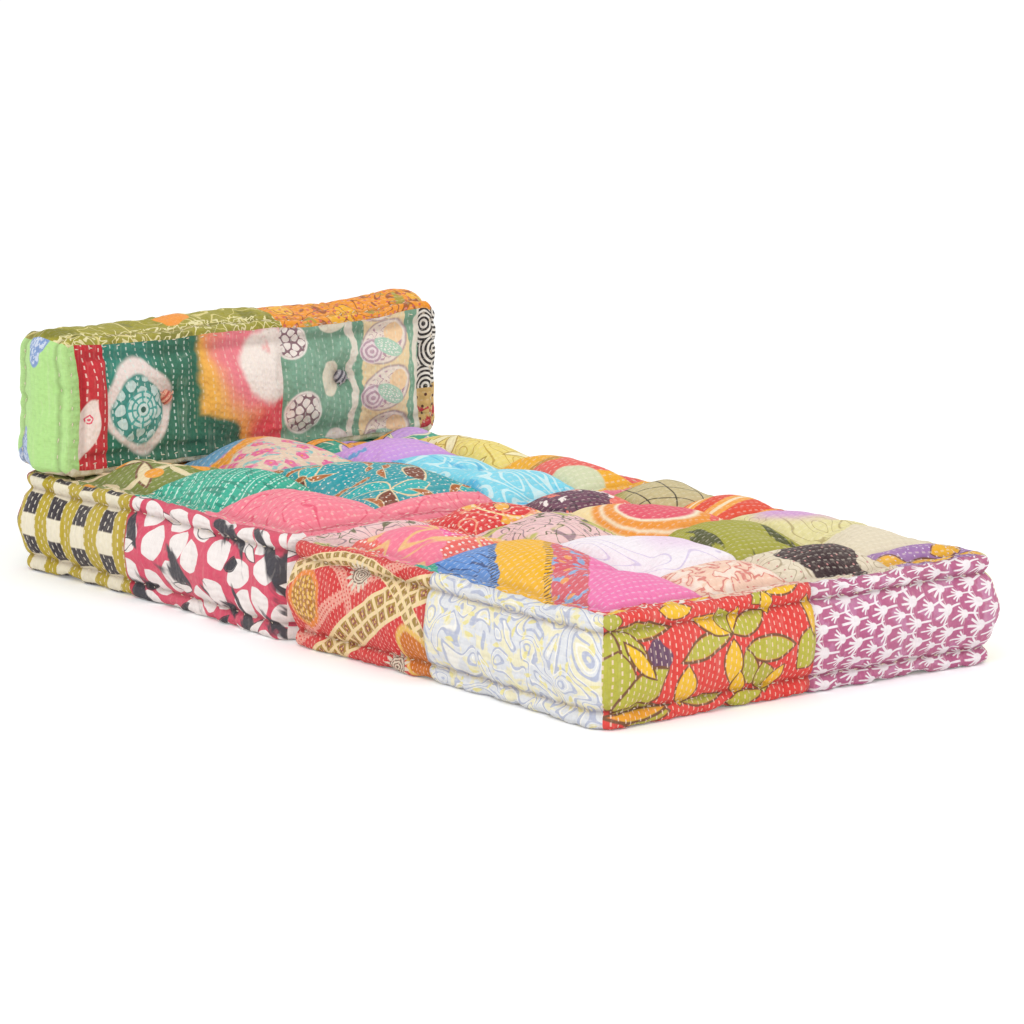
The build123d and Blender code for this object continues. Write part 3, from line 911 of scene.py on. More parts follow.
COTTONS = {
    "check": Cotton("c3ab33", (
        Stripes("f1dfbd"),
        Checks("f6ecd2", at=(0.0, 0.033)),
        Checks("373139"),
        Field("a8433f", high=-0.326, inlay=Blotches(cover=0.6)),
        Field("2e2a30", high=-0.326, inlay=Blotches(spacing=0.04, cover=0.42)),
    ), thread_turn=90.0, stitch_length=0.012, stitched=0.8),
    "pebbles": Cotton("e0536e", (
        Pebbles("fdf4f0", spacing=0.056, gap=-0.025, jitter=0.62),
        Blotches("45434b", cover=0.33, softness=0.03, turn=-38.0, stretch=0.36),
        Sprigs("fbf3ee", width=0.22, bend=0.35, jitter=0.9, spin=0.25,
               turn=-30.0, rim="3c3a42", second="3c3a42", second_share=0.3),
        Field("d13f52", low=-0.06, high=-0.047),
    ), stitched=0.0),
    "red_grid": Cotton("dc3a3b", (
        *arcs((0.333, -0.741), 0.932, ("f4a493", 0.019, 0.0, 1.0), ("dc3a3b", 0.019, 0.006, 0.45)),
        *arcs((-0.272, -0.02), 0.082, ("f4a493", 0.014, 0.0, 1.0), ("dc3a3b", 0.014, 0.006, 0.45)),
        *arcs((0.333, -0.741), 0.88, ("f9dfa8", 0.05, 0.0, 1.0), ("b08c3c", 0.044, 0.022, 0.76),
              ("95503c", 0.044, 0.022, 0.42), ("ecc368", 0.044, 0.022, 0.16)),
        *arcs((-0.2, -0.11), 0.186, ("f9dfa8", 0.026, 0.0, 1.0), ("a98a45", 0.022, 0.016, 0.66)),
        *nested((-0.287, 0.0), ("f08a35", 0.03), ("b5761f", 0.024), stretch=0.72),
        Spot("f2c35b", at=(-0.287, 0.0), reach=0.024, stretch=0.72, inlay=Spots(spacing=0.006, reach=0.35)),
        *nested((-0.05, -0.052), ("f3c463", 0.034), ("d5761f", 0.028), stretch=0.62, turn=-30.0),
        Spot("e9dcc6", at=(-0.184, 0.052), reach=0.021, lobes=14, lobe_share=0.28),
        Spot("8d7364", at=(-0.184, 0.052), reach=0.018, rings=4.0, wobble=0.3),
        Spot("e9dcc6", at=(-0.1, -0.076), reach=0.022, lobes=14, lobe_share=0.28),
        Spot("8d7364", at=(-0.1, -0.076), reach=0.019, rings=4.0, wobble=0.3),
    ), thread="f9cfbd", thread_turn=80.0, stitch_pitch=0.0075, stitch_length=0.008, stitched=0.7),
    "pale_swirl": Cotton("e6e8ec", (
        Blotches("f6efcd", spacing=0.03, cover=0.46, softness=0.03),
        Lines("bdc3d8", count=8.0, thickness=0.24),
        Sprigs("f1e6a2", spacing=0.032, reach=0.52, width=0.24, bend=0.4, jitter=0.9),
        Lines("fbf8f0", count=6.0),
    ), thread="fbf6ea", stitched=0.2),
    "coral_leaf": Cotton("ea453f", (
        Spot("6d4a66", at=(-0.262, 0.012), reach=0.024, lobes=4, lobe_share=0.1),
        Spot("6d4a66", at=(-0.345, 0.004), reach=0.022, lobes=4, lobe_share=0.1),
        *blooms(
            (-0.331, 0.061, 0.1, 1, 12.0, "c4bf47", 0.15),
            (-0.331, 0.061, 0.078, 1, 55.0, "c4bf47", 0.24),
            (-0.331, 0.061, 0.08, 1, 100.0, "bdb945", 0.2),
            (-0.331, 0.061, 0.036, 1, -75.0, "bdb945", 0.4),
            (-0.335, -0.055, 0.085, 1, -75.0, "bdb945", 0.34),
            (-0.33, -0.055, 0.1, 1, -25.0, "c4bf47", 0.28),
            (-0.33, -0.06, 0.095, 1, 14.0, "bdb945", 0.22),
            (-0.34, -0.068, 0.105, 1, 4.0, "f9a92c", 0.1),
            (-0.314, 0.04, 0.072, 1, 55.0, "fcc92e", 0.15),
            (-0.215, -0.068, 0.066, 1, -80.0, "fcc92e", 0.27),
            (-0.212, -0.062, 0.072, 1, 4.0, "bdb945", 0.14),
            (-0.133, 0.029, 0.092, 1, 170.0, "c4bf47", 0.16),
            (-0.133, 0.029, 0.07, 1, -142.0, "fcc92e", 0.26),
            (-0.133, 0.029, 0.048, 1, -103.0, "c4bf47", 0.32),
            (-0.133, 0.029, 0.048, 1, -62.0, "fcc92e", 0.22),
            (-0.133, 0.029, 0.07, 1, -16.0, "c4bf47", 0.24),
            (-0.112, 0.006, 0.085, 1, 10.0, "c4bf47", 0.21),
            (-0.112, 0.006, 0.06, 1, 75.0, "bdb945", 0.26),
            (-0.133, 0.022, 0.064, 1, 94.0, "fcc92e", 0.25),
            (-0.121, -0.022, 0.05, 1, 84.0, "fcc92e", 0.25),
            (-0.066, -0.07, 0.056, 1, -98.0, "bdb945", 0.32),
            (-0.07, -0.064, 0.048, 1, -50.0, "fcc92e", 0.22),
            (-0.14, -0.08, 0.07, 1, -4.0, "c4bf47", 0.2),
            (-0.09, 0.072, 0.055, 1, -35.0, "c4bf47", 0.28),
            (-0.062, 0.088, 0.06, 1, -2.0, "fcc92e", 0.22),
            (-0.066, 0.094, 0.046, 1, 95.0, "fcc92e", 0.22),
            (-0.25, 0.082, 0.055, 1, 6.0, "fcc92e", 0.26),
            (-0.018, -0.036, 0.066, 1, -55.0, "c4bf47", 0.34),
            (0.008, 0.006, 0.066, 1, -88.0, "fcc92e", 0.16),
        ),
    ), thread="f9dcc9", thread_turn=90.0, stitch_pitch=0.009, stitched=0.75),
    "mauve_fern": Cotton("bf648d", (
        Blotches("c97fa6", spacing=0.03, softness=0.05),
        Fans("fcf3f6", pitch=0.054, row=0.03, turn=-8.0),
    ), stitched=0.0),
    "blue_dash": Cotton("5f93d8", (
        Lines("2f4f86", spacing=0.016, thickness=0.06, stretch=0.25),
        Field("35b394", turn=37.8, low=-0.36, high=-0.282, wobble=0.01),
        Field("2f3a52", turn=37.8, low=-0.213, high=-0.19,
              inlay=Stripes(pitch=0.007, share=0.35, turn=-90.0)),
        Field("f9bb12", turn=37.8, low=-0.201, wobble=0.008),
        Field("7a5524", turn=37.8, low=-0.137,
              inlay=Stripes(pitch=0.008, share=0.35, turn=-90.0)),
        Field("dd5f6c", turn=37.8, low=-0.126, high=-0.076),
        Field("8fb0d8", turn=37.8, low=-0.126, high=-0.08, inlay=Blotches(spacing=0.02)),
        Field("f3a25e", turn=37.8, low=-0.126, high=-0.08, inlay=Spots(spacing=0.028, reach=0.22)),
        Field("f57ab4", turn=37.8, low=-0.078, high=0.3),
        Field("e63e3c", turn=-90.0, low=-0.36, high=-0.312, wobble=0.008),
        Field("fbe9dc", turn=-90.0, low=-0.36, high=-0.312,
              inlay=Lines(spacing=0.05, count=4.0, thickness=0.16)),
        Field("f6c02c", turn=-90.0, low=-0.36, high=-0.314, inlay=Spots(spacing=0.07, reach=0.24)),
    ), thread="e8eef8", stitched=0.35),
    "coral_dots": Cotton("f2645c", (
        Spot("fa5fa8", at=(-0.235, 0.165), reach=0.075, stretch=1.7),
        Spot("f4c071", at=(-0.17, 0.115), reach=0.034, stretch=1.3),
        Spots("fbe6dc", spacing=0.0095, reach=0.24, jitter=0.35),
        Field("fa7f9a", turn=37.8, low=-0.36, high=-0.275, wobble=0.02),
        Lines("f7c184", spacing=0.09, count=4.0, thickness=0.1),
    ), stitched=0.2),
    "white_lines": Cotton("fbf3f8", (
        Lines("ddd0ea", spacing=0.1, count=12.0, stretch=0.5),
        Spot("f3dcf0", at=(-0.03, -0.12), reach=0.05, softness=0.5),
    ), thread="efe4ea", stitched=0.4),
    "peach_scribble": Cotton("f8d0b8", (
        Lines("de857a", spacing=0.02, thickness=0.2),
        Blotches("fbe6d6", spacing=0.02, cover=0.34),
    ), stitched=0.4),
    "dark_lace": Cotton("eadcc2", (
        Lines("b9a88a", spacing=0.05, count=8.0, thickness=0.08),
        Spot("351c22", at=(0.095, -0.272), reach=0.056, softness=0.03, wobble=0.9, stretch=0.8),
        Spots("cf8f8a", reach=0.1),
    )),
    "beige_fine": Cotton("ece2a4", (
        Lines("c2b27c", spacing=0.04, count=7.0, thickness=0.07, stretch=0.5),
        Spot("dba6d8", at=(0.255, -0.045), reach=0.06, softness=0.35, wobble=0.3),
        Field("e9dcc0", turn=-90.0, low=-0.36, high=-0.17, wobble=0.02),
    )),
    "olive_stroke": Cotton("a9a632", (
        Blotches("4d5220", spacing=0.045, softness=0.015, stretch=0.22, turn=15.0),
    )),
    "paisley_orange": Cotton("fae2a8", (
        *nested((0.085, 0.085), ("f59a32", 0.1), ("fdf0d2", 0.086), ("f59a32", 0.08), ("fdf0d2", 0.06),
                ("ea4c66", 0.054), stretch=1.05, turn=20.0, lobes=1, lobe_share=0.24),
        Field("f2635c", turn=37.8, low=0.1, high=0.3, inlay=Stripes(pitch=0.03)),
    )),
    "purple_petal": Cotton("a77bb4", (
        Blotches("9467a8", softness=0.06),
        *blooms(
            (0.215, -0.315, 0.07, 2, 20.0, "f4b62c", 0.2),
            (0.31, -0.3, 0.05, 3, 60.0, "f4b62c", 0.25),
        ),
        Spots("e8d8ee", spacing=0.012, reach=0.1),
    ), stitched=0.4),
    "sunset_stripe": Cotton("ea4e33", (
        Stripes("faa945", pitch=0.05, sway=0.03, swing=0.14, turn=78.0),
        Stripes("fde6bd", pitch=0.05, share=0.12, sway=0.03, swing=0.14, turn=78.0),
    )),
    "olive_net": Cotton("a99d33", (
        Spot("cdbd8c", at=(0.24, 0.22), reach=0.07, softness=0.3, wobble=0.2),
        Stripes("2c261d", pitch=0.04, share=0.05, sway=0.03, turn=20.0),
        Stripes("2c261d", pitch=0.036, share=0.05, sway=0.03, turn=-62.0),
    ), stitched=0.2),
    "plum_abstract": Cotton("6f3c56", (
        Blotches("fbf0ea", spacing=0.06, cover=0.42, softness=0.008),
        Blotches("f2796a", spacing=0.045, cover=0.32, softness=0.01, at=(0.4, 0.2)),
        Lines("4b2b3f", spacing=0.05, count=5.0, thickness=0.1),
    )),
    "red_hook": Cotton("e23438", (
        Arc("f8b544", at=(-0.045, 0.245), reach=0.052, width=0.02),
        Spot("e23438", at=(-0.1, 0.225), reach=0.026),
        Arc("fde3a6", at=(-0.045, 0.245), reach=0.046, width=0.004),
        *blooms((-0.045, 0.245, 0.038, 1, 150.0, "f8b544", 0.3)),
        Lines("f6a07f", count=4.0, thickness=0.08),
        Spots("fbe1cf", spacing=0.013),
    ), stitched=0.4),
    "pink_grey": Cotton("f5cbca", (
        Lines("a5858f", spacing=0.05, count=9.0, thickness=0.09, stretch=0.35),
        Blotches("c9c46a", spacing=0.07, cover=0.34, softness=0.03, at=(0.1, 0.0)),
        Lines("6d6a4a", spacing=0.03),
    ), stitched=0.2),
    "salmon": Cotton("fb8598", (
        Lines("f0607c", spacing=0.12, count=9.0),
        Spots("fdb9b6", spacing=0.018, reach=0.12),
        Field("d65a6e", turn=-90.0, low=-0.36, high=-0.33),
    ), thread="fccac8", stitched=0.4),
    "teal_streak": Cotton("2fb597", (
        Stripes("c9f2e2", pitch=0.017, share=0.09, sway=0.01, swing=0.08, turn=58.0),
        Lines("1f947c", spacing=0.03, count=5.0, thickness=0.12, stretch=0.4),
        Field("ecd9c2", turn=-90.0, low=0.045, high=0.2, inlay=Lines(spacing=0.04, thickness=0.12)),
    ), thread="e4f6ec", thread_turn=-32.0, stitched=0.7),
    "olive_cream": Cotton("7f8c3c", (
        *blooms(
            (-0.255, 0.15, 0.085, 3, 10.0, "f3e0b4", 0.14),
            (-0.2, 0.12, 0.05, 1, 200.0, "f7a42e", 0.35),
        ),
        Sprigs("f3e0b4", spacing=0.09, petals=4, reach=0.52, width=0.14, bend=0.5, jitter=0.6, rim="f3e0b4"),
        Spots("f7a42e", spacing=0.075, reach=0.2),
    )),
    "orange_pastel": Cotton("f8a636", (
        Spot("efd2b8", at=(-0.045, 0.08), reach=0.11, stretch=1.5, wobble=0.35),
        Spot("8fc9c6", at=(-0.045, 0.08), reach=0.105, stretch=1.5, wobble=0.3,
             inlay=Blotches(spacing=0.026, cover=0.36)),
        Spot("f49ab0", at=(-0.045, 0.08), reach=0.11, stretch=1.5,
             inlay=Blotches(spacing=0.022)),
        Sprigs("ef6f9f", spacing=0.038, petals=5, reach=0.3, width=0.5, heart="f8a636"),
        Spot("6ba6cc", at=(-0.1, 0.2), reach=0.06, stretch=1.6, wobble=0.3),
    ), stitched=0.4),
    "teal_brown": Cotton("1fa0aa", (
        Sprigs("7c3a20", spacing=0.125, petals=3, reach=0.58, width=0.26, bend=0.5,
               rim="efd3a0", second="1fb6b6"),
        Sprigs("b5672c", spacing=0.07, petals=2, width=0.2, bend=0.7, rim="efd3a0"),
        Spots("f3e8d8", spacing=0.012, reach=0.12),
    )),
    "sky_water": Cotton("84def2", (
        Lines("d2f6fa", count=8.0, thickness=0.25, stretch=0.5, turn=-20.0),
        Blotches("4fbde6", softness=0.05, stretch=0.5),
    )),
    "amber_coral": Cotton("fbb416", (
        Field("f2655c", turn=-74.0, low=-0.195, high=-0.13, wobble=0.01),
        Field("c98a1c", turn=-74.0, low=-0.13, high=-0.118),
        Spot("dbe0b8", at=(0.215, -0.29), reach=0.045, wobble=0.1),
    ), stitched=0.4),
    "yellow_fine": Cotton("f5e07e", (
        Lines("cfae48", spacing=0.045, count=7.0, thickness=0.07, stretch=0.6),
        Sprigs("fdf2c0", spacing=0.12, petals=6, width=0.16, bend=0.3, rim="b99a45", jitter=0.5),
    ), stitched=0.2),
    "green_leaf": Cotton("2fa488", (
        Sprigs("27937a", spacing=0.15, petals=3, reach=0.6, width=0.4, bend=0.2, jitter=0.7,
               rim="f3e6c9", second="cfa0e6"),
        Sprigs("f8a534", spacing=0.17, width=0.2, bend=0.9, jitter=0.7, rim="2b2a26"),
    )),
    "lavender": Cotton("d59fe6", (
        Blotches("6fa6dc", spacing=0.07, softness=0.03),
    )),
    "lime": Cotton("bbe892", (
        Spot("86a2d2", at=(-0.083, -0.002), reach=0.022, lobes=3, lobe_share=0.3),
        Spot("d3def0", at=(-0.083, -0.002), reach=0.02, lobes=3, inlay=Blotches(spacing=0.006, cover=0.5)),
        Spot("86a2d2", at=(0.078, -0.036), reach=0.03, lobes=3, lobe_share=0.35, turn=180.0, stretch=1.2),
        Spot("d3def0", at=(0.078, -0.036), reach=0.028, lobes=3, lobe_share=0.35, turn=180.0, stretch=1.2,
             inlay=Blotches(spacing=0.006, cover=0.5)),
    ), stitched=0.0),
    "red_kantha": Cotton("cf2733", (
        Spot("f8e2d8", at=(-0.314, -0.034), reach=0.021, stretch=0.5, turn=16.0, lobes=4, lobe_share=0.08),
        Spot("e8506a", at=(-0.31, -0.02), reach=0.007, rings=1.5, wobble=0.4),
        Spot("f8e2d8", at=(-0.352, 0.052), reach=0.012, stretch=0.6),
        Field("f8dfd4", low=-0.4, high=-0.3445, inlay=Spots(spacing=0.018, reach=0.45)),
    ), thread="fbdccf", thread_turn=90.0, stitch_pitch=0.0145, stitch_length=0.012, stitched=0.85),
    "bottle_green": Cotton("27735a", (
        Spot("2f8a78", at=(-0.25, 0.06), reach=0.06, softness=0.4, wobble=0.3),
        Spot("f2e0d8", at=(-0.218, -0.006), reach=0.062, stretch=0.86, lobes=4, lobe_share=0.07,
             turn=-12.0, wobble=0.1),
        Spot("3f8f84", at=(-0.221, -0.012), reach=0.047, stretch=0.9, lobes=4, lobe_share=0.06,
             turn=-12.0, wobble=0.1),
        Spot("c9ded8", at=(-0.221, -0.012), reach=0.045, stretch=0.9, wobble=0.1,
             inlay=Pebbles(spacing=0.021, gap=0.02)),
        Spot("4aa79f", at=(-0.218, -0.012), reach=0.029, wobble=0.06),
        Arc("cde4dd", at=(-0.218, -0.012), reach=0.019, width=0.014, tile=0.0149, share=0.78),
        Spot("d5e8e2", at=(-0.218, -0.012), reach=0.009),
        Spot("1f5d50", at=(-0.218, -0.012), reach=0.0045),
    ), thread="dfebe1", thread_turn=86.0, stitch_pitch=0.0145, stitch_length=0.0095, stitched=0.78),
    "tie_dye": Cotton("fdbb4e", (
        Spot("f9906a", at=(-0.045, 0.085), reach=0.05, softness=0.4, wobble=0.3, stretch=1.4),
        Spot("f67f8c", at=(0.004, 0.05), reach=0.082, softness=0.3, wobble=0.3, stretch=0.85),
        Spot("ec5663", at=(0.048, -0.074), reach=0.06, softness=0.3, stretch=0.8, wobble=0.3),
        Spot("fdf0e6", at=(0.02, 0.036), reach=0.056, softness=0.12, stretch=0.95, wobble=0.24),
        Spot("f6a6a4", at=(0.026, 0.05), reach=0.036,
             inlay=Blotches(spacing=0.04, cover=0.16, softness=0.1)),
        Spot("27735a", at=(-0.092, -0.094), reach=0.076, softness=0.08, stretch=1.25, turn=30.0, wobble=0.26),
        Field("27735a", low=-0.2, high=-0.106, wobble=0.008, softness=0.008),
    ), thread="f9ead2", thread_turn=86.0, stitch_pitch=0.0155, stitched=0.35),
    "sage_paisley": Cotton("84b096", (
        Blotches("76a389", cover=0.4, softness=0.08),
        *nested((0.066, 0.07), ("f8ede4", 0.03), ("8d6c74", 0.0265), wobble=0.02),
        Spot("f8ede4", at=(0.066, 0.07), reach=0.0265, inlay=Pebbles(spacing=0.013, gap=-0.08)),
        *nested((0.083, -0.046), ("f8ede4", 0.034), ("8d6c74", 0.0305), wobble=0.02),
        Spot("f8ede4", at=(0.083, -0.046), reach=0.0305, inlay=Pebbles(spacing=0.014, gap=-0.08)),
        Spot("f0e6cf", at=(0.14, 0.002), reach=0.021, stretch=0.72, wobble=0.05),
        Spot("f0e6cf", at=(0.142, 0.106), reach=0.028, wobble=0.05),
        Spot("ead9d0", at=(0.15, -0.104), reach=0.026, wobble=0.05),
        Field("efe6d6", low=0.176, high=0.188, wobble=0.02, grain=0.07),
        Field("f6dcae", low=0.2, high=0.284, wobble=0.01),
        *paisley(0.232, 0.12),
        *paisley(0.234, 0.05),
        *paisley(0.236, -0.024),
        *paisley(0.24, -0.098),
        Field("efe6d6", low=0.3, high=0.316, wobble=0.016, grain=0.06),
    ), thread="dfe9dc", thread_turn=90.0, stitch_pitch=0.015, stitched=0.4),
    "black_rings": Cotton("f4efe6", (
        Spots("211e21", spacing=0.062, reach=0.66, rings=5.5),
        Field("dcb672", low=-0.2, high=-0.03, wobble=0.02),
        Field("5a2f22", low=-0.2, high=-0.03, wobble=0.02, inlay=Spots()),
        Field("bf2c3a", low=-0.2, high=-0.06, wobble=0.02, inlay=Blotches(spacing=0.03, cover=0.5)),
    ), stitched=0.2),
    "beige_spots": Cotton("dcb672", (
        Spots("5a2f22"),
        Field("c22f3e", turn=-90.0, low=-0.12, high=-0.062, wobble=0.03,
              inlay=Blotches(spacing=0.03, cover=0.6)),
    ), stitched=0.2),
    "olive_squiggle": Cotton("a39c33", (
        Blotches("86832a", spacing=0.06, softness=0.05),
        Lines("e6d88a", spacing=0.045),
        Field("f0e6ae", turn=-90.0, low=0.03, high=0.09, wobble=0.012,
              inlay=Lines(spacing=0.018, thickness=0.16)),
        Spot("fb9c30", at=(0.118, 0.006), reach=0.026, lobes=4, lobe_share=0.12, turn=20.0),
    ), stitched=0.0),
    "amber_paisley": Cotton("f89c1e", (
        Sprigs("fbb82c", reach=0.62, width=0.5, bend=0.5, jitter=0.6, rim="b5602c"),
        Lines("a85a2a", spacing=0.045, count=5.0, thickness=0.07),
        Blotches("b0a03a", spacing=0.06, cover=0.2, softness=0.03),
        Spots("dc6a58"),
    ), stitched=0.2),
    "under_cotton": Cotton("e9dec4", (
        Stripes("d9cbaa", pitch=0.024),
        Lines("cdbd99", spacing=0.05, count=4.0),
    )),
}


class Lumps:
    """Smooth random lumps that repeat every 32 steps, the same on each run."""

    def __init__(self, seed: int) -> None:
        """Draws the lattice.

        Args:
            seed: Start of the random numbers.
        """
        self.lattice = np.random.default_rng(seed).uniform(-1.0, 1.0, (32, 32, 32))

    def at(self, points: np.ndarray, size: float | tuple[float, float, float]) -> np.ndarray:
        """Height of the lumps, from -1 to 1.

        Args:
            points: Places, one per row.
            size: Distance between lumps, or one for each axis.

        Returns:
            One height per place.
        """
        place = points / np.asarray(size)
        cell = np.floor(place).astype(int)
        part = place - cell
        part = part * part * (3.0 - 2.0 * part)
        height = np.zeros(len(points))
        for corner in range(8):
            bits = np.array([corner & 1, corner >> 1 & 1, corner >> 2 & 1])
            share = np.prod(np.where(bits, part, 1.0 - part), axis=1)
            index = (cell + bits) % 32
            height += share * self.lattice[index[:, 0], index[:, 1], index[:, 2]]
        return height


def smooth_line(points: tuple[Place, ...], steps: int = 8) -> np.ndarray:
    """A smooth line through points of a cross-section.

    Args:
        points: The points.
        steps: Steps from one to the next.

    Returns:
        The line's points, one per row.
    """
    line = np.array(points)
    line = np.vstack([2 * line[0] - line[1], line, 2 * line[-1] - line[-2]])
    share = np.linspace(0.0, 1.0, steps, endpoint=False)[:, None]
    spans = []
    for a, b, c, d in zip(line, line[1:], line[2:], line[3:]):
        bent = (2 * a - 5 * b + 4 * c - d) * share**2 + (3 * b - a - 3 * c + d) * share**3
        spans.append(0.5 * (2 * b + (c - a) * share + bent))
    return np.vstack([*spans, line[-2][None]])


def soft_step(value: np.ndarray, low: float, high: float) -> np.ndarray:
    """Soft step from 0 at low to 1 at high."""
    share = np.clip((value - low) / (high - low), 0.0, 1.0)
    return share * share * (3.0 - 2.0 * share)


def soft_fall(value: np.ndarray, low: float, high: float) -> np.ndarray:
    """Soft step from 1 at low to 0 at high."""
    return soft_step(-value, -high, -low)


def fade(distance: np.ndarray, reach: float, power: float = 2.0) -> np.ndarray:
    """Fades from 1 at no distance to about a third at the reach, and on to nothing."""
    return np.exp(-((distance / reach) ** power))


class Side(Enum):
    """The six sides of a cushion as it is sewn, with the way each faces."""

    FACE = (0, 0, 1)
    BACK = (0, 0, -1)
    LEFT = (-1, 0, 0)
    RIGHT = (1, 0, 0)
    NEAR = (0, -1, 0)
    FAR = (0, 1, 0)

    @property
    def axis(self) -> int:
        """The axis that the side faces along: 0 for x, 1 for y and 2 for z."""
        return [bool(part) for part in self.value].index(True)


@dataclass(frozen=True)
class Sewing:
    """Measures of the sewing and the stuffing that all modules share, in metres.

    A reach is how far from a seam, channel or tuft its mark fades. A pair ending in hold or step is
    where something begins and ends. A power, share, fold shade or count has no unit.
    """

    nearly: float = 1e-6
    hill_power: float = 0.55
    hill_middle: float = 0.55
    hill_foot: float = 0.042
    crown_reach: float = 0.05
    wave_height: float = 0.004
    wave_size: float = 0.085
    back_share: float = 0.7
    swell_share: float = 0.45
    swell_size: tuple[float, float, float] = (0.11, 0.11, 0.16)
    pinch_share: float = 0.4
    pinch_reach: float = 0.008
    seam_depth: float = 0.0022
    seam_reach: float = 0.006
    slack_reach: float = 0.05
    slack_size: tuple[float, float, float] = (0.095, 0.095, 0.3)
    lift_size: float = 0.1
    tuft_power: float = 1.25
    back_tuft_power: float = 1.3
    back_tuft_reach: float = 0.03
    ridge_count: int = 8
    ridge_height: float = 0.0028
    ridge_step: Place = (0.006, 0.02)
    ridge_reach: float = 0.05
    press_step: Place = (0.045, 0.004)
    press_depth: float = 0.001
    tuft_hold: Place = (0.008, 0.016)
    channel_hold: Place = (0.002, 0.007)
    seam_hold: Place = (0.004, 0.012)
    seam_hold_share: float = 0.35
    # Painted shade: depth and reach of the dark marks round tufts, along channels and at seams, which also
    # flatten the wadding lumps.
    tuft_fold: Place = (0.9, 0.016)
    channel_fold_shade: Place = (0.8, 0.0045)
    seam_fold_shade: Place = (0.3, 0.005)
    side_seam_fold_shade: Place = (0.4, 0.003)
    puff_moments: int = 20
    puff_travel: float = 0.009
    pucker_size: tuple[float, float, float] = (0.011, 0.2, 0.07)
    pucker_turn: float = 0.03
    pucker_step: Place = (0.02, 0.05)
    pucker_height: float = 0.0007
    channel_height: float = 0.0026
    channel_shares: Place = (0.14, 0.86)
    channel_step: Place = (0.02, 0.22)
    wadding_lumps: tuple[Place, Place] = ((0.034, 0.0011), (0.017, 0.0005))
    floor_gap: float = 0.0004
    module_gap: float = 0.0003
    press_gap: float = 0.0005
    press_margin: float = 0.006
    knot_floor_gap: float = 0.0006
    knot_lift: float = 0.002
    knot_lean: float = 2.3
    knot_lean_step: float = 0.2
    knot_flatness: float = 0.72
    wrap_depth: float = 0.22
    groove_power: float = 0.7
    loose_ends: int = 2
    end_length: Place = (0.008, 0.012)
    end_radius: float = 0.0011
    end_out: float = 0.004
    end_up: float = 0.005
    end_rise: float = 0.004
    end_steps: int = 4
    stitch_reach: float = 0.05
    stitch_inset: float = 0.002
    stitch_lean: float = 0.25
    stitch_lift: float = 0.0003
    stitch_length: Place = (0.0032, 0.0045)
    stitch_radius: float = 0.0009


SEWING = Sewing()


@dataclass(frozen=True)
class Strip:
    """A strip of patches down a face: where it ends across it, and where each patch ends along it."""

    end: float
    patches: tuple[tuple[float, str], ...]


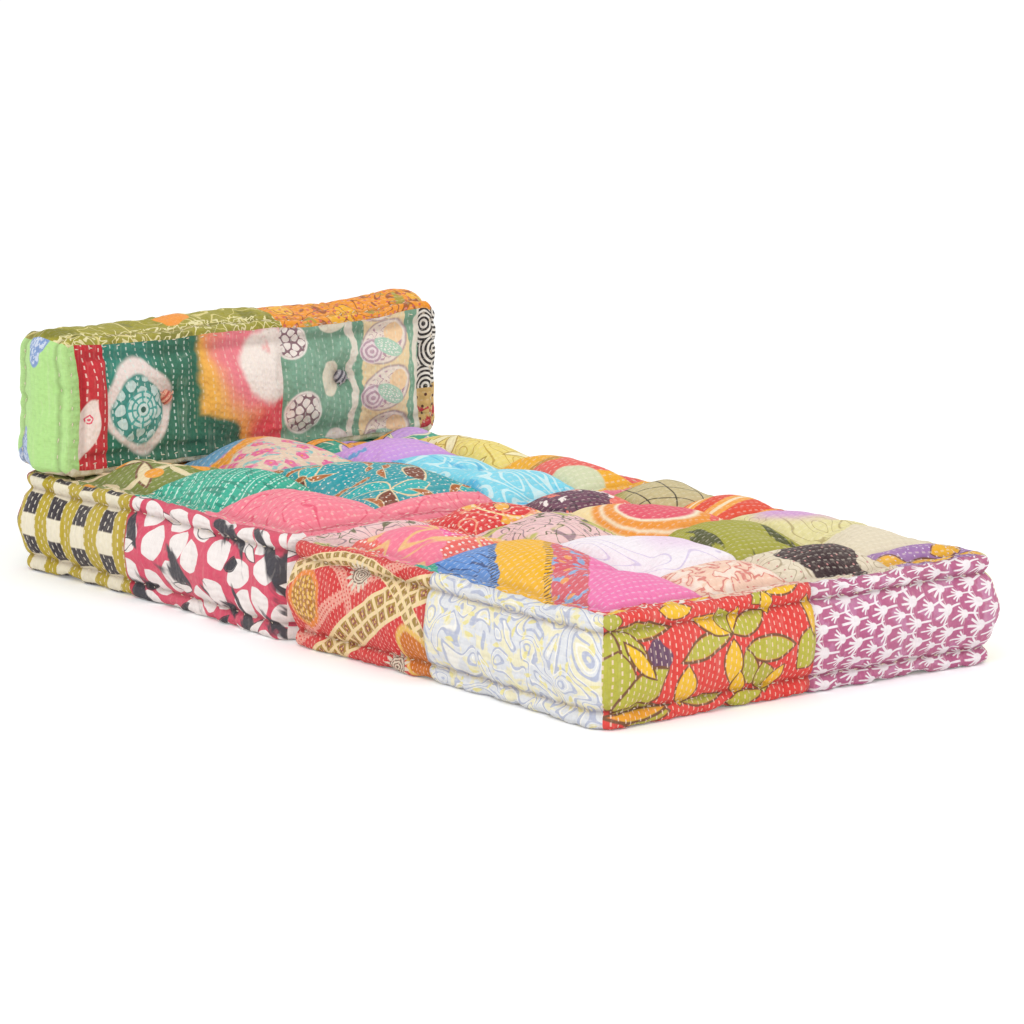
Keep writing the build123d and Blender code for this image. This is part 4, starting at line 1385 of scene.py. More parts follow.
@dataclass
class Cushion:
    """One module: a padded cover sewn from patches, its edge stitches and its tuft knots.

    The cover is shaped with its width along x, its depth along y and its thickness along z, and then
    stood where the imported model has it.
    """

    name: str
    face: str
    back: str
    width: float
    depth: float
    thickness: float
    crown: float
    back_crown: float
    hill: float
    tufts: tuple[Place, ...]
    tuft_floor: float
    tuft_reach: float
    back_tuft_floor: float
    strips: tuple[Strip, ...]
    bands: dict[Side, tuple[tuple[float, str], ...]]
    back_cotton: str
    pressed: tuple[Side, ...]
    pressed_length: float
    bands_nodes: tuple[str, ...]
    seed: int
    cell: float = 0.009
    knots: tuple[tuple[str, str], ...] = (("5b3a30", "2a1a1a"),)
    crest_inset: float = 0.012
    corner_reach: float = 0.026
    draw_in: float = 0.008
    roll: float = 0.023
    channel: float = 0.009
    face_channel: float = 0.01
    swell: float = 0.013
    slackness: float = 0.0035
    stitch_pitch: float = 0.024
    knot_radius: float = 0.0105
    knot_wraps: float = 2.9

    def __post_init__(self) -> None:
        """Works out the cross-sections of the band and of the face's edge."""
        t, roll = self.thickness, self.roll
        foot = ((-0.011, 0.0), (-0.0035, 0.0025))
        bulge = ((0.0, 0.45 * roll), (-0.001, 0.75 * roll))
        low = (*foot, *bulge, (-self.channel, roll), (-0.0005, 1.32 * roll))
        high = tuple((out, t - z) for out, z in reversed(low))
        shoulder = 0.6 * self.swell
        band = ((shoulder, 0.37 * t), (self.swell, 0.5 * t), (shoulder, 0.63 * t))
        self.band_line = smooth_line(low + band + high)
        steps = np.linalg.norm(np.diff(self.band_line, axis=0), axis=1)
        self.band_run = np.concatenate([[0.0], np.cumsum(steps)])
        self.height = float(self.band_run[-1])
        crest = ((0.0, 0.0), (0.2 * roll, 0.0), (0.5 * roll, 0.0005), (0.8 * roll, -0.35 * self.face_channel))
        valley = ((roll, -self.face_channel), (1.35 * roll, -0.1 * self.face_channel), (2.2 * roll, 0.001))
        self.edge_line = smooth_line(crest + valley)
        self.lumps = Lumps(self.seed)

    @property
    def flat_half(self) -> np.ndarray:
        """Half sizes of the flat box that the cover is cut from."""
        inset = self.crest_inset
        return np.array([self.width / 2 - inset, self.depth / 2 - inset, self.height / 2])

    @property
    def stand(self) -> Matrix:
        """Where the module stands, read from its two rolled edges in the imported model.

        Returns:
            The move from the cushion lying as it is sewn to its place.
        """
        low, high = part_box(f"{self.name}_{self.face}_roll")
        back_low, back_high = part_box(f"{self.name}_{self.back}_roll")
        middle = (low + high) / 2
        if self.back == "underside":
            return Matrix.Translation((middle.x, middle.y, back_low.z))
        return Matrix(((1, 0, 0, middle.x), (0, 0, -1, back_high.y), (0, 1, 0, middle.z), (0, 0, 0, 1)))

    def tuft_places(self) -> np.ndarray:
        """Places of the tufts on the flat face."""
        return np.array([(x * self.width, y * self.depth) for x, y in self.tufts])

    def patch_at(self, side: Side, x: float, y: float) -> tuple[str, tuple[float, float, float, float]]:
        """The patch at a place on a side.

        Args:
            side: The side.
            x: Place along the side's first direction.
            y: Place along its second.

        Returns:
            The cotton's name, and the patch's lowest and highest x and y.
        """
        half = self.flat_half
        if side is Side.FACE:
            left = -half[0]
            for strip in self.strips:
                if x < strip.end or strip is self.strips[-1]:
                    break
                left = strip.end
            near = -half[1]
            for end, cotton in strip.patches:
                if y < end or end == strip.patches[-1][0]:
                    break
                near = end
            return cotton, (left, min(strip.end, half[0]), near, min(end, half[1]))
        if side is Side.BACK:
            return self.back_cotton, (-half[0], half[0], -half[1], half[1])
        reach = half[0] if side in (Side.NEAR, Side.FAR) else half[1]
        start = -reach
        for end, cotton in self.bands[side]:
            if x < end or end == self.bands[side][-1][0]:
                break
            start = end
        return cotton, (start, min(end, reach), -half[2], half[2])

    @staticmethod
    def sheet_place(side: Side, point: Vector) -> Place:
        """Place of a point of the flat box on one side's cloth, seen from outside.

        Args:
            side: The side.
            point: The point.

        Returns:
            Its place along and across the cloth, in metres.
        """
        if side in (Side.FACE, Side.BACK):
            return point.x, point.y
        if side in (Side.NEAR, Side.FAR):
            return (point.x if side is Side.NEAR else -point.x), point.z
        return (point.y if side is Side.RIGHT else -point.y), point.z

    def cut_out(self) -> bpy.types.Object:
        """Makes the flat box of patches, with the cloth's own coordinates and a material per patch.

        Returns:
            The cover, still flat.
        """
        bm = bmesh.new()
        bmesh.ops.create_cube(bm, size=2.0)
        bmesh.ops.scale(bm, vec=self.flat_half, verts=bm.verts)
        for axis in range(3):
            along = [
                edge
                for edge in bm.edges
                if abs((edge.verts[1].co - edge.verts[0].co)[axis]) > SEWING.nearly
            ]
            cuts = round(2 * self.flat_half[axis] / self.cell) - 1
            bmesh.ops.subdivide_edges(bm, edges=along, cuts=cuts, use_grid_fill=True)
        bmesh.ops.recalc_face_normals(bm, faces=bm.faces)
        sheet = bm.loops.layers.uv.new("cloth")
        names: list[str] = []
        for surface in bm.faces:
            side = max(Side, key=lambda way: surface.normal.dot(Vector(way.value)))
            middle = self.sheet_place(side, surface.calc_center_median())
            cotton, _ = self.patch_at(side, *middle)
            if cotton not in names:
                names.append(cotton)
            surface.material_index = names.index(cotton)
            surface.smooth = True
            for loop in surface.loops:
                loop[sheet].uv = self.sheet_place(side, loop.vert.co)
        mesh = bpy.data.meshes.new(f"{self.name}_cover")
        bm.to_mesh(mesh)
        bm.free()
        for cotton in names:
            mesh.materials.append(finish(cotton))
        cover = bpy.data.objects.new(mesh.name, mesh)
        bpy.context.scene.collection.objects.link(cover)
        return cover

    def patch_domes(self, flat: np.ndarray) -> tuple[np.ndarray, np.ndarray]:
        """How far each point of the face is up its patch's hill, and how near to a seam.

        Args:
            flat: Points of the flat box.

        Returns:
            Rise from 0 at the seams to 1, and distance to the nearest seam.
        """
        rise, seam = np.zeros(len(flat)), np.full(len(flat), 1.0)
        for index, (x, y) in enumerate(flat[:, :2]):
            _, (left, right, near, far) = self.patch_at(Side.FACE, x, y)
            u = (2 * x - left - right) / (right - left)
            v = (2 * y - near - far) / (far - near)
            rise[index] = max(0.0, (1 - u * u) * (1 - v * v)) ** SEWING.hill_power
            seam[index] = min(x - left, right - x, y - near, far - y)
        return rise, np.maximum(seam, 0.0)

    def side_seams(self, flat: np.ndarray, faces_x: np.ndarray) -> np.ndarray:
        """Distance from each point of a side to the nearest upright seam in its band.

        Args:
            flat: Points of the flat box.
            faces_x: Where the side is the left or the right one.

        Returns:
            One distance per point.
        """
        distance = np.ones(len(flat))
        for side, patches in self.bands.items():
            sign = 1 if side in (Side.NEAR, Side.RIGHT) else -1
            along = sign * flat[:, 1 - side.axis]
            here = (faces_x == (side.axis == 0)) & (flat[:, side.axis] * side.value[side.axis] > 0)
            for end, _ in patches[:-1]:
                distance = np.where(here, np.minimum(distance, np.abs(along - end)), distance)
        return distance

    def lay_out(self, flat: np.ndarray) -> tuple[np.ndarray, np.ndarray, np.ndarray, np.ndarray]:
        """Rounds the corners of the flat box's plan.

        Args:
            flat: Points of the flat box.

        Returns:
            Each point's place in plan, its way out, its distance in from the edge, and whether it is
            nearer to the left or right side than to the others.
        """
        half = self.flat_half[:2]
        zone = half - self.corner_reach
        plan = flat[:, :2]
        local = (np.abs(plan) - zone) / self.corner_reach
        faces_x = local[:, 0] >= local[:, 1]
        corner = np.all(local > 0, axis=1)[:, None]
        u, v = np.clip(local, 0, 1).T
        rounded = np.column_stack([u * np.sqrt(1 - v * v / 2), v * np.sqrt(1 - u * u / 2)])
        signs = np.where(plan < 0, -1.0, 1.0)
        plan = np.where(corner, signs * (zone + self.corner_reach * rounded), plan)
        away = signs * np.where(corner, rounded, np.column_stack([faces_x, ~faces_x]))
        away = away / np.maximum(np.linalg.norm(away, axis=1), SEWING.nearly)[:, None]
        arc = self.corner_reach - np.linalg.norm(np.maximum(np.abs(plan) - zone, 0), axis=1)
        straight = np.min(half - np.abs(plan), axis=1)
        depth_in = np.maximum(np.where(corner[:, 0], arc, straight), 0.0)
        return plan, away, depth_in, faces_x

    def against(self, away: np.ndarray) -> np.ndarray:
        """Where the edge is pressed against another module.

        Args:
            away: Each point's way out.

        Returns:
            True or False for each point.
        """
        pressed = np.zeros(len(away), dtype=bool)
        for side in self.pressed:
            pressed |= away @ np.array(side.value[:2]) > 0.5
        return pressed

    def shape_band(self, flat: np.ndarray, faces_x: np.ndarray) -> tuple[np.ndarray, ...]:
        """Shapes the sides, with their rolls, channels and upright seams.

        Args:
            flat: Points of the flat box.
            faces_x: Where the side is the left or the right one.

        Returns:
            How far out and how high each point lies, and its distance to a channel and to a seam.
        """
        run = flat[:, 2] + self.flat_half[2]
        out = np.interp(run, self.band_run, self.band_line[:, 0])
        height = np.interp(run, self.band_run, self.band_line[:, 1])
        swell = 1.0 + SEWING.swell_share * self.lumps.at(flat + 3.1, SEWING.swell_size)
        out = np.where(out > 0, out * swell, out)
        channel_run = float(np.interp(self.roll, self.band_line[:, 1], self.band_run))
        channel = np.minimum(np.abs(run - channel_run), np.abs(self.height - run - channel_run))
        station = np.where(faces_x, flat[:, 1], flat[:, 0])
        pinch = np.cos(station * FULL_TURN / self.stitch_pitch)
        out = out - SEWING.pinch_share * self.channel * pinch * fade(channel, SEWING.pinch_reach)
        seam = self.side_seams(flat, faces_x)
        out = out - SEWING.seam_depth * fade(seam, SEWING.seam_reach)
        return out, height, channel, seam

    def shape_faces(self, plan: np.ndarray, depth_in: np.ndarray, rise: np.ndarray) -> tuple[np.ndarray, ...]:
        """Shapes the face and the back, but for their tufts.

        Args:
            plan: Places in plan.
            depth_in: Distances in from the edge.
            rise: How far up its patch's hill each point is.

        Returns:
            Heights of the face and of the back.
        """
        edge = np.interp(depth_in, self.edge_line[:, 0], self.edge_line[:, 1])
        inner = soft_step(depth_in, self.roll, self.roll + SEWING.hill_foot)
        stuffed = 1 - fade(np.maximum(depth_in - self.roll, 0), SEWING.crown_reach, 1.0)
        wave = self.lumps.at(np.column_stack([plan, np.zeros(len(plan))]), SEWING.wave_size)
        hill = self.hill * (rise - SEWING.hill_middle) + SEWING.wave_height * wave
        face = self.thickness + edge + self.crown * stuffed + inner * hill
        return face, -edge * SEWING.back_share - self.back_crown * stuffed

    def shape(self, flat: np.ndarray) -> tuple[np.ndarray, np.ndarray, np.ndarray]:
        """Shapes the flat box into the stuffed and tufted cushion.

        Args:
            flat: Points of the flat box.

        Returns:
            The shaped points, how strongly each is sewn down, and how folded the cloth is there.
        """
        top = self.flat_half[2]
        on_face = flat[:, 2] > top - SEWING.nearly
        on_back = flat[:, 2] < SEWING.nearly - top
        on_side = ~(on_face | on_back)
        plan, away, depth_in, faces_x = self.lay_out(flat)
        pressed = self.against(away)
        out, side_z, channel, side_seam = self.shape_band(flat, faces_x)
        out = np.where(pressed, np.minimum(out, 0.0), out)
        rise, seam = np.zeros(len(flat)), np.full(len(flat), 1.0)
        rise[on_face], seam[on_face] = self.patch_domes(flat[on_face])
        face_z, back_z = self.shape_faces(plan, depth_in, rise)

        sewn, folds_and_shade = np.zeros(len(flat)), np.zeros(len(flat))
        for at_x, at_y in self.tuft_places():
            aside, ahead = (plan - (at_x, at_y)).T
            reach, angle = np.hypot(aside, ahead), np.arctan2(ahead, aside)
            pull = fade(reach, self.tuft_reach, SEWING.tuft_power)
            ridges = np.cos(angle * SEWING.ridge_count + 5 * at_x + 3 * np.sin(angle * 3))
            ridges *= soft_step(reach, *SEWING.ridge_step) * fade(reach, SEWING.ridge_reach)
            ridges *= SEWING.ridge_height
            face_z = np.where(on_face, face_z + (self.tuft_floor - face_z) * pull + ridges, face_z)
            pull = fade(reach, SEWING.back_tuft_reach, SEWING.back_tuft_power)
            back_z = back_z + (self.back_tuft_floor - back_z) * pull
            sewn = np.maximum(sewn, np.where(on_side, 0.0, soft_fall(reach, *SEWING.tuft_hold)))
            # Painted shade round the tuft's dimple, kept with the fold marks.
            depth, width = SEWING.tuft_fold
            folds_and_shade = np.maximum(folds_and_shade, np.where(on_side, 0.0, fade(reach, width) * depth))
        if self.pressed_length:
            begin, full = (self.depth / 2 - self.pressed_length - step for step in SEWING.press_step)
            under = soft_step(flat[:, 1], begin, full)
            face_z = face_z + (np.minimum(face_z, self.thickness - SEWING.press_depth) - face_z) * under

        loose = fade(depth_in, SEWING.slack_reach, 1.0) * self.slackness
        slack = np.where(pressed, 0.0, self.lumps.at(flat + 7.3, SEWING.slack_size) * loose)
        lift = self.lumps.at(flat * (1.0, 1.0, 0.0) + 5.1, SEWING.lift_size) * loose
        high = soft_step(flat[:, 2] + top, 0.5 * self.height, self.height)
        z = np.where(on_face, face_z + lift, np.where(on_back, back_z, side_z + lift * high))
        moved = np.where(on_side, out + self.crest_inset, 0.0)
        plan = self.bow_in(plan + away * (moved + slack)[:, None])
        groove = np.where(on_side, channel, np.abs(depth_in - self.roll))
        sewn = np.maximum(sewn, soft_fall(groove, *SEWING.channel_hold))
        sewn = np.maximum(sewn, soft_fall(seam, *SEWING.seam_hold) * SEWING.seam_hold_share * on_face)
        # Painted shade along the channels and the seams, kept with the fold marks.
        for distance, (depth, width), there in (
            (groove, SEWING.channel_fold_shade, True),
            (seam, SEWING.seam_fold_shade, on_face),
            (side_seam, SEWING.side_seam_fold_shade, on_side),
        ):
            folds_and_shade = np.maximum(folds_and_shade, fade(distance, width) * depth * there)
        return np.column_stack([plan, z]), sewn, folds_and_shade

    def bow_in(self, plan: np.ndarray) -> np.ndarray:
        """Draws the middles of the free edges in, as the quilting does.

        Args:
            plan: Places in plan.

        Returns:
            The places after it.
        """
        bow = 1.0 - (2 * plan[:, ::-1] / np.array([self.depth, self.width])) ** 2
        bow = np.clip(bow, 0.0, 1.0) * self.draw_in
        for side in self.pressed:
            toward = plan[:, side.axis] * side.value[side.axis] > 0
            bow[:, side.axis] = np.where(toward, 0.0, bow[:, side.axis])
        return plan - bow * (plan / np.array([self.width / 2, self.depth / 2]))

    def puff(self, cover: bpy.types.Object, sewn: np.ndarray) -> None:
        """Blows the cover up as cloth that is held where it is sewn down, and keeps the result.

        Args:
            cover: The shaped cover.
            sewn: How strongly each point is held.
        """
        held = cover.vertex_groups.new(name="sewn")
        levels = 10
        for level in range(1, levels + 1):
            chosen = np.nonzero(np.round(sewn * levels) == level)[0]
            held.add([int(index) for index in chosen], level / levels, "REPLACE")
        before = read_points(cover.data)
        cloth = cover.modifiers.new("Cloth", "CLOTH")
        cloth.collision_settings.use_collision = False
        settings = cloth.settings
        settings.quality = 4
        settings.mass = 0.25
        settings.tension_stiffness = settings.compression_stiffness = 12.0
        settings.shear_stiffness = 4.0
        settings.bending_stiffness = 0.08
        settings.shrink_min = -0.035
        settings.use_pressure = True
        settings.uniform_pressure_force = 4.0
        settings.vertex_group_mass = "sewn"
        settings.pin_stiffness = 1.0
        settings.effector_weights.gravity = 0.0
        cloth.point_cache.frame_start, cloth.point_cache.frame_end = 1, SEWING.puff_moments
        scene = bpy.context.scene
        for moment in range(1, SEWING.puff_moments + 1):
            scene.frame_set(moment)
        graph = bpy.context.evaluated_depsgraph_get()
        after = read_points(cover.evaluated_get(graph).data)
        cover.modifiers.remove(cloth)
        scene.frame_set(1)
        travel = after - before
        length = np.linalg.norm(travel, axis=1)
        share = np.minimum(length, SEWING.puff_travel) / np.maximum(length, SEWING.nearly)
        write_points(cover.data, before + travel * share[:, None])
        cover.vertex_groups.clear()

    def gather(self, points: np.ndarray, normals: np.ndarray, folds_and_shade: np.ndarray) -> np.ndarray:
        """Adds the fine puckers of the hand-sewn channels and the small lumps of the wadding.

        Args:
            points: Points of the cover.
            normals: Its normals there.
            folds_and_shade: How folded the cloth is.

        Returns:
            The puckered points.
        """
        width, depth = self.width / 2, self.depth / 2
        x, y = np.abs(points[:, :2]).T
        beyond = x / width * self.width - y / depth * self.depth - (self.width - self.depth)
        along_y = soft_step(beyond, -SEWING.pucker_turn, SEWING.pucker_turn)
        across, along, up = SEWING.pucker_size
        fine = self.lumps.at(points, (across, along, up)) * (1 - along_y)
        fine += self.lumps.at(points + 5.0, (along, across, up)) * along_y
        near_edge = soft_fall(np.minimum(width - x, depth - y), *SEWING.pucker_step)
        height = points[:, 2] / self.thickness
        low, high = (soft_fall(np.abs(height - at), *SEWING.channel_step) for at in SEWING.channel_shares)
        depth_there = SEWING.pucker_height + SEWING.channel_height * np.maximum(low, high)
        (coarse, coarse_height), (small, small_height) = SEWING.wadding_lumps
        lumps = self.lumps.at(points + 9.0, coarse) * coarse_height
        lumps = lumps + self.lumps.at(points + 2.0, small) * small_height
        moved = fine * near_edge * depth_there + lumps * (1 - folds_and_shade * 0.5)
        return points + normals * moved[:, None]

    def keep_clear(self, points: np.ndarray) -> np.ndarray:
        """Holds the cover off the floor and off the modules that it touches.

        Args:
            points: Points of the cover.

        Returns:
            The points, none past the planes where something else begins.
        """
        points = points.copy()
        for side in self.pressed:
            way = side.value[side.axis]
            limit = (self.width, self.depth)[side.axis] / 2 - SEWING.module_gap
            points[:, side.axis] = np.minimum(points[:, side.axis] * way, limit) * way
        if self.back == "underside":
            points[:, 2] = np.maximum(points[:, 2], SEWING.floor_gap)
        if self.pressed_length:
            under = points[:, 1] > self.depth / 2 - self.pressed_length - SEWING.press_margin
            limit = self.thickness - SEWING.press_gap
            points[:, 2] = np.where(under, np.minimum(points[:, 2], limit), points[:, 2])
        return points

    def build_cover(self) -> bpy.types.Object:
        """Sews, stuffs and quilts the cover.

        Returns:
            The cover, standing in its place.
        """
        cover = self.cut_out()
        shaped, sewn, folds_and_shade = self.shape(read_points(cover.data))
        write_points(cover.data, shaped)
        # The fold marks go on the mesh as the attribute that the cotton finish paints as shade.
        folded = cover.data.attributes.new("fold_shade", "FLOAT", "POINT")
        folded.data.foreach_set("value", folds_and_shade)
        self.puff(cover, sewn)
        finer = cover.modifiers.new("Subdivision", "SUBSURF")
        finer.levels = finer.render_levels = 1
        graph = bpy.context.evaluated_depsgraph_get()
        mesh = bpy.data.meshes.new_from_object(cover.evaluated_get(graph))
        cover.modifiers.remove(finer)
        cover.data = mesh
        mesh.name = cover.name
        folds_and_shade = np.zeros(len(mesh.vertices))
        mesh.attributes["fold_shade"].data.foreach_get("value", folds_and_shade)
        normals = np.zeros(3 * len(mesh.vertices))
        mesh.vertices.foreach_get("normal", normals)
        points = self.gather(read_points(mesh), normals.reshape(-1, 3), folds_and_shade)
        write_points(mesh, self.keep_clear(points))
        mesh.transform(self.stand)
        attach(cover, self.name)
        panels = (f"{side}_{part}" for part in ("panel", "roll") for side in (self.face, self.back))
        self.stands_for(cover, "stuffing", *panels, *self.bands_nodes)
        return cover

    def stands_for(self, piece: bpy.types.Object, *packed: str) -> None:
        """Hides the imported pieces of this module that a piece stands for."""
        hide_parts(*[f"{self.name}_{name}" for name in packed])

    def build_knots(self, cover: bpy.types.Object) -> bpy.types.Object:
        """Ties a knot of twine with loose ends over each tuft, on both faces.

        Args:
            cover: The finished cover, for the depth of each dimple.

        Returns:
            The knots, as one piece.
        """
        rng = np.random.default_rng(self.seed + 7)
        lying = self.stand.inverted()
        tree = BVHTree.FromPolygons(
            [lying @ vertex.co for vertex in cover.data.vertices],
            [tuple(polygon.vertices) for polygon in cover.data.polygons],
        )
        bm = bmesh.new()
        bm.verts.layers.float.new("groove")
        for index, (at_x, at_y) in enumerate(self.tuft_places()):
            for way in (1, -1):
                start = Vector((at_x, at_y, self.thickness / 2))
                hit = tree.ray_cast(start, Vector((0, 0, way)))[0]
                floor = hit.z if hit else (self.tuft_floor if way > 0 else self.back_tuft_floor)
                foot = Vector((at_x, at_y, floor))
                middle = foot + Vector((0, 0, way * SEWING.knot_lift))
                twine = index % len(self.knots)
                self.add_bundle(bm, middle, SEWING.knot_lean + SEWING.knot_lean_step * index, twine)
                for _ in range(SEWING.loose_ends):
                    self.add_loose_end(bm, rng, foot, way, twine)
        self.add_stitches(bm, tree, rng)
        if self.back == "underside":
            for vertex in bm.verts:
                vertex.co.z = max(vertex.co.z, SEWING.knot_floor_gap)
        for surface in bm.faces:
            surface.smooth = True
        mesh = bpy.data.meshes.new(f"{self.name}_tuft_knots")
        bm.to_mesh(mesh)
        bm.free()
        mesh.transform(self.stand)
        for number, (light, dark) in enumerate(self.knots):
            mesh.materials.append(Twine(light, dark).material(f"{self.name}_twine_{number}"))
        mesh.materials.append(Twine("f1e4cc", "b59f80").material(f"{self.name}_sewing_thread"))
        knots = bpy.data.objects.new(mesh.name, mesh)
        bpy.context.scene.collection.objects.link(knots)
        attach(knots, self.name)
        self.stands_for(knots, "tuft_ties", f"{self.face}_tufts", f"{self.back}_tufts")
        return knots

    def add_bundle(self, bm: bmesh.types.BMesh, middle: Vector, lean: float, finish_index: int) -> None:
        """Adds one knot: a small ball of parallel wraps of twine.

        Args:
            bm: The mesh to add to.
            middle: The knot's middle.
            lean: Angle across which the wraps lie side by side.
            finish_index: Its material slot.
        """
        groove = bm.verts.layers.float["groove"]
        made = bmesh.ops.create_icosphere(bm, subdivisions=4, radius=1.0)["verts"]
        for vertex in made:
            across = vertex.co.x * math.cos(lean) + vertex.co.y * math.sin(lean)
            wrap = math.sqrt(abs(math.cos(across * self.knot_wraps * math.pi / 2)))
            # The groove value marks the hollows between the wraps, which the twine finish paints as shade.
            vertex[groove] = (1 - wrap) ** SEWING.groove_power
            vertex.co *= self.knot_radius * (1 - SEWING.wrap_depth + SEWING.wrap_depth * wrap)
            vertex.co.z *= SEWING.knot_flatness
            vertex.co += middle
        for surface in {face for vertex in made for face in vertex.link_faces}:
            surface.material_index = finish_index

    def rim_stations(self) -> list[tuple[Vector, Vector]]:
        """Sets out the stitches round the cushion's edge.

        Returns:
            Each stitch's place and its way out.
        """
        half_x, half_y, turn = self.width / 2, self.depth / 2, self.corner_reach
        run_x, run_y = 2 * (half_x - turn), 2 * (half_y - turn)
        runs = ((run_x, (0, -1)), (run_y, (1, 0)), (run_x, (0, 1)), (run_y, (-1, 0)))
        stations = []
        for run, (out_x, out_y) in runs:
            out = Vector((out_x, out_y, 0))
            along = Vector((-out_y, out_x, 0))
            middle = Vector((out_x * half_x, out_y * half_y, 0))
            count = round(run / self.stitch_pitch)
            for number in range(count):
                stations.append((middle + along * run * ((number + 0.5) / count - 0.5), out))
        return stations

    def add_stitches(self, bm: bmesh.types.BMesh, tree: BVHTree, rng: np.random.Generator) -> None:
        """Lays hand stitches in the sewn channels of the sides and the face.

        Args:
            bm: The mesh to add to.
            tree: The finished cover, lying as it is sewn.
            rng: Random numbers for each stitch's lean.
        """
        up = Vector((0, 0, 1))
        for place, out in self.rim_stations():
            hidden = any(out.dot(Vector(side.value)) > 0.9 for side in self.pressed)
            outside = place + out * SEWING.stitch_reach
            rays = [] if hidden else [
                (outside + up * self.roll, -out),
                (outside + up * (self.thickness - self.roll), -out),
            ]
            inset = place - out * (self.roll + SEWING.stitch_inset)
            rays.append((inset + up * (self.thickness + SEWING.stitch_reach), -up))
            for start, way in rays:
                hit, normal, _, _ = tree.ray_cast(start, way)
                if hit is None:
                    continue
                along = normal.cross(up if abs(way.z) < 0.5 else out).normalized()
                lean = Vector(rng.uniform(-SEWING.stitch_lean, SEWING.stitch_lean, 3))
                along = (along + lean).normalized().to_track_quat("X", "Z").to_matrix().to_4x4()
                lifted = Matrix.Translation(hit + normal * SEWING.stitch_lift)
                radius = SEWING.stitch_radius
                sized = Matrix.Diagonal((rng.uniform(*SEWING.stitch_length), radius, radius, 1.0))
                made = bmesh.ops.create_uvsphere(
                    bm, u_segments=6, v_segments=4, radius=1.0, matrix=lifted @ along @ sized
                )["verts"]
                for surface in {face for vertex in made for face in vertex.link_faces}:
                    surface.material_index = len(self.knots)

    @staticmethod
    def add_loose_end(
        bm: bmesh.types.BMesh, rng: np.random.Generator, foot: Vector, way: int, finish_index: int
    ) -> None:
        """Adds one short loose end of twine that curls out of a knot.

        Args:
            bm: The mesh to add to.
            rng: Random numbers for its direction and length.
            foot: Middle of the knot's foot.
            way: 1 on the face and -1 on the back.
            finish_index: Its material slot.
        """
        angle, length = rng.uniform(0, FULL_TURN), rng.uniform(*SEWING.end_length)
        lean = Vector((math.cos(angle), math.sin(angle), 0))
        begin = foot + lean * SEWING.end_out + Vector((0, 0, way * SEWING.end_up))
        ring = bmesh.ops.create_circle(bm, segments=6, radius=SEWING.end_radius)["verts"]
        bmesh.ops.rotate(bm, verts=ring, matrix=lean.to_track_quat("Z", "Y").to_matrix())
        bmesh.ops.translate(bm, verts=ring, vec=begin)
        edges = list({edge for vertex in ring for edge in vertex.link_edges})
        for step in range(SEWING.end_steps):
            extruded = bmesh.ops.extrude_edge_only(bm, edges=edges)["geom"]
            moved = [part for part in extruded if isinstance(part, bmesh.types.BMVert)]
            edges = [part for part in extruded if isinstance(part, bmesh.types.BMEdge)]
            edges = [edge for edge in edges if edge.verts[0] in moved and edge.verts[1] in moved]
            lift = Vector((0, 0, way * SEWING.end_rise * (1 - step / 2)))
            bmesh.ops.translate(bm, verts=moved, vec=lean * length / SEWING.end_steps + lift)
            for surface in {face for edge in edges for face in edge.link_faces}:
                surface.material_index = finish_index
        for surface in bmesh.ops.contextual_create(bm, geom=edges)["faces"]:
            surface.material_index = finish_index


def read_points(mesh: bpy.types.Mesh) -> np.ndarray:
    """The mesh's points, one per row."""
    flat = np.zeros(3 * len(mesh.vertices))
    mesh.vertices.foreach_get("co", flat)
    return flat.reshape(-1, 3)


def write_points(mesh: bpy.types.Mesh, points: np.ndarray) -> None:
    """Moves the mesh's points to the rows given."""
    mesh.vertices.foreach_set("co", points.ravel())
    mesh.update()


def finish(cotton: str) -> bpy.types.Material:
    """The material of a cotton by name, made on the first call."""
    return bpy.data.materials.get(cotton) or COTTONS[cotton].material(cotton)


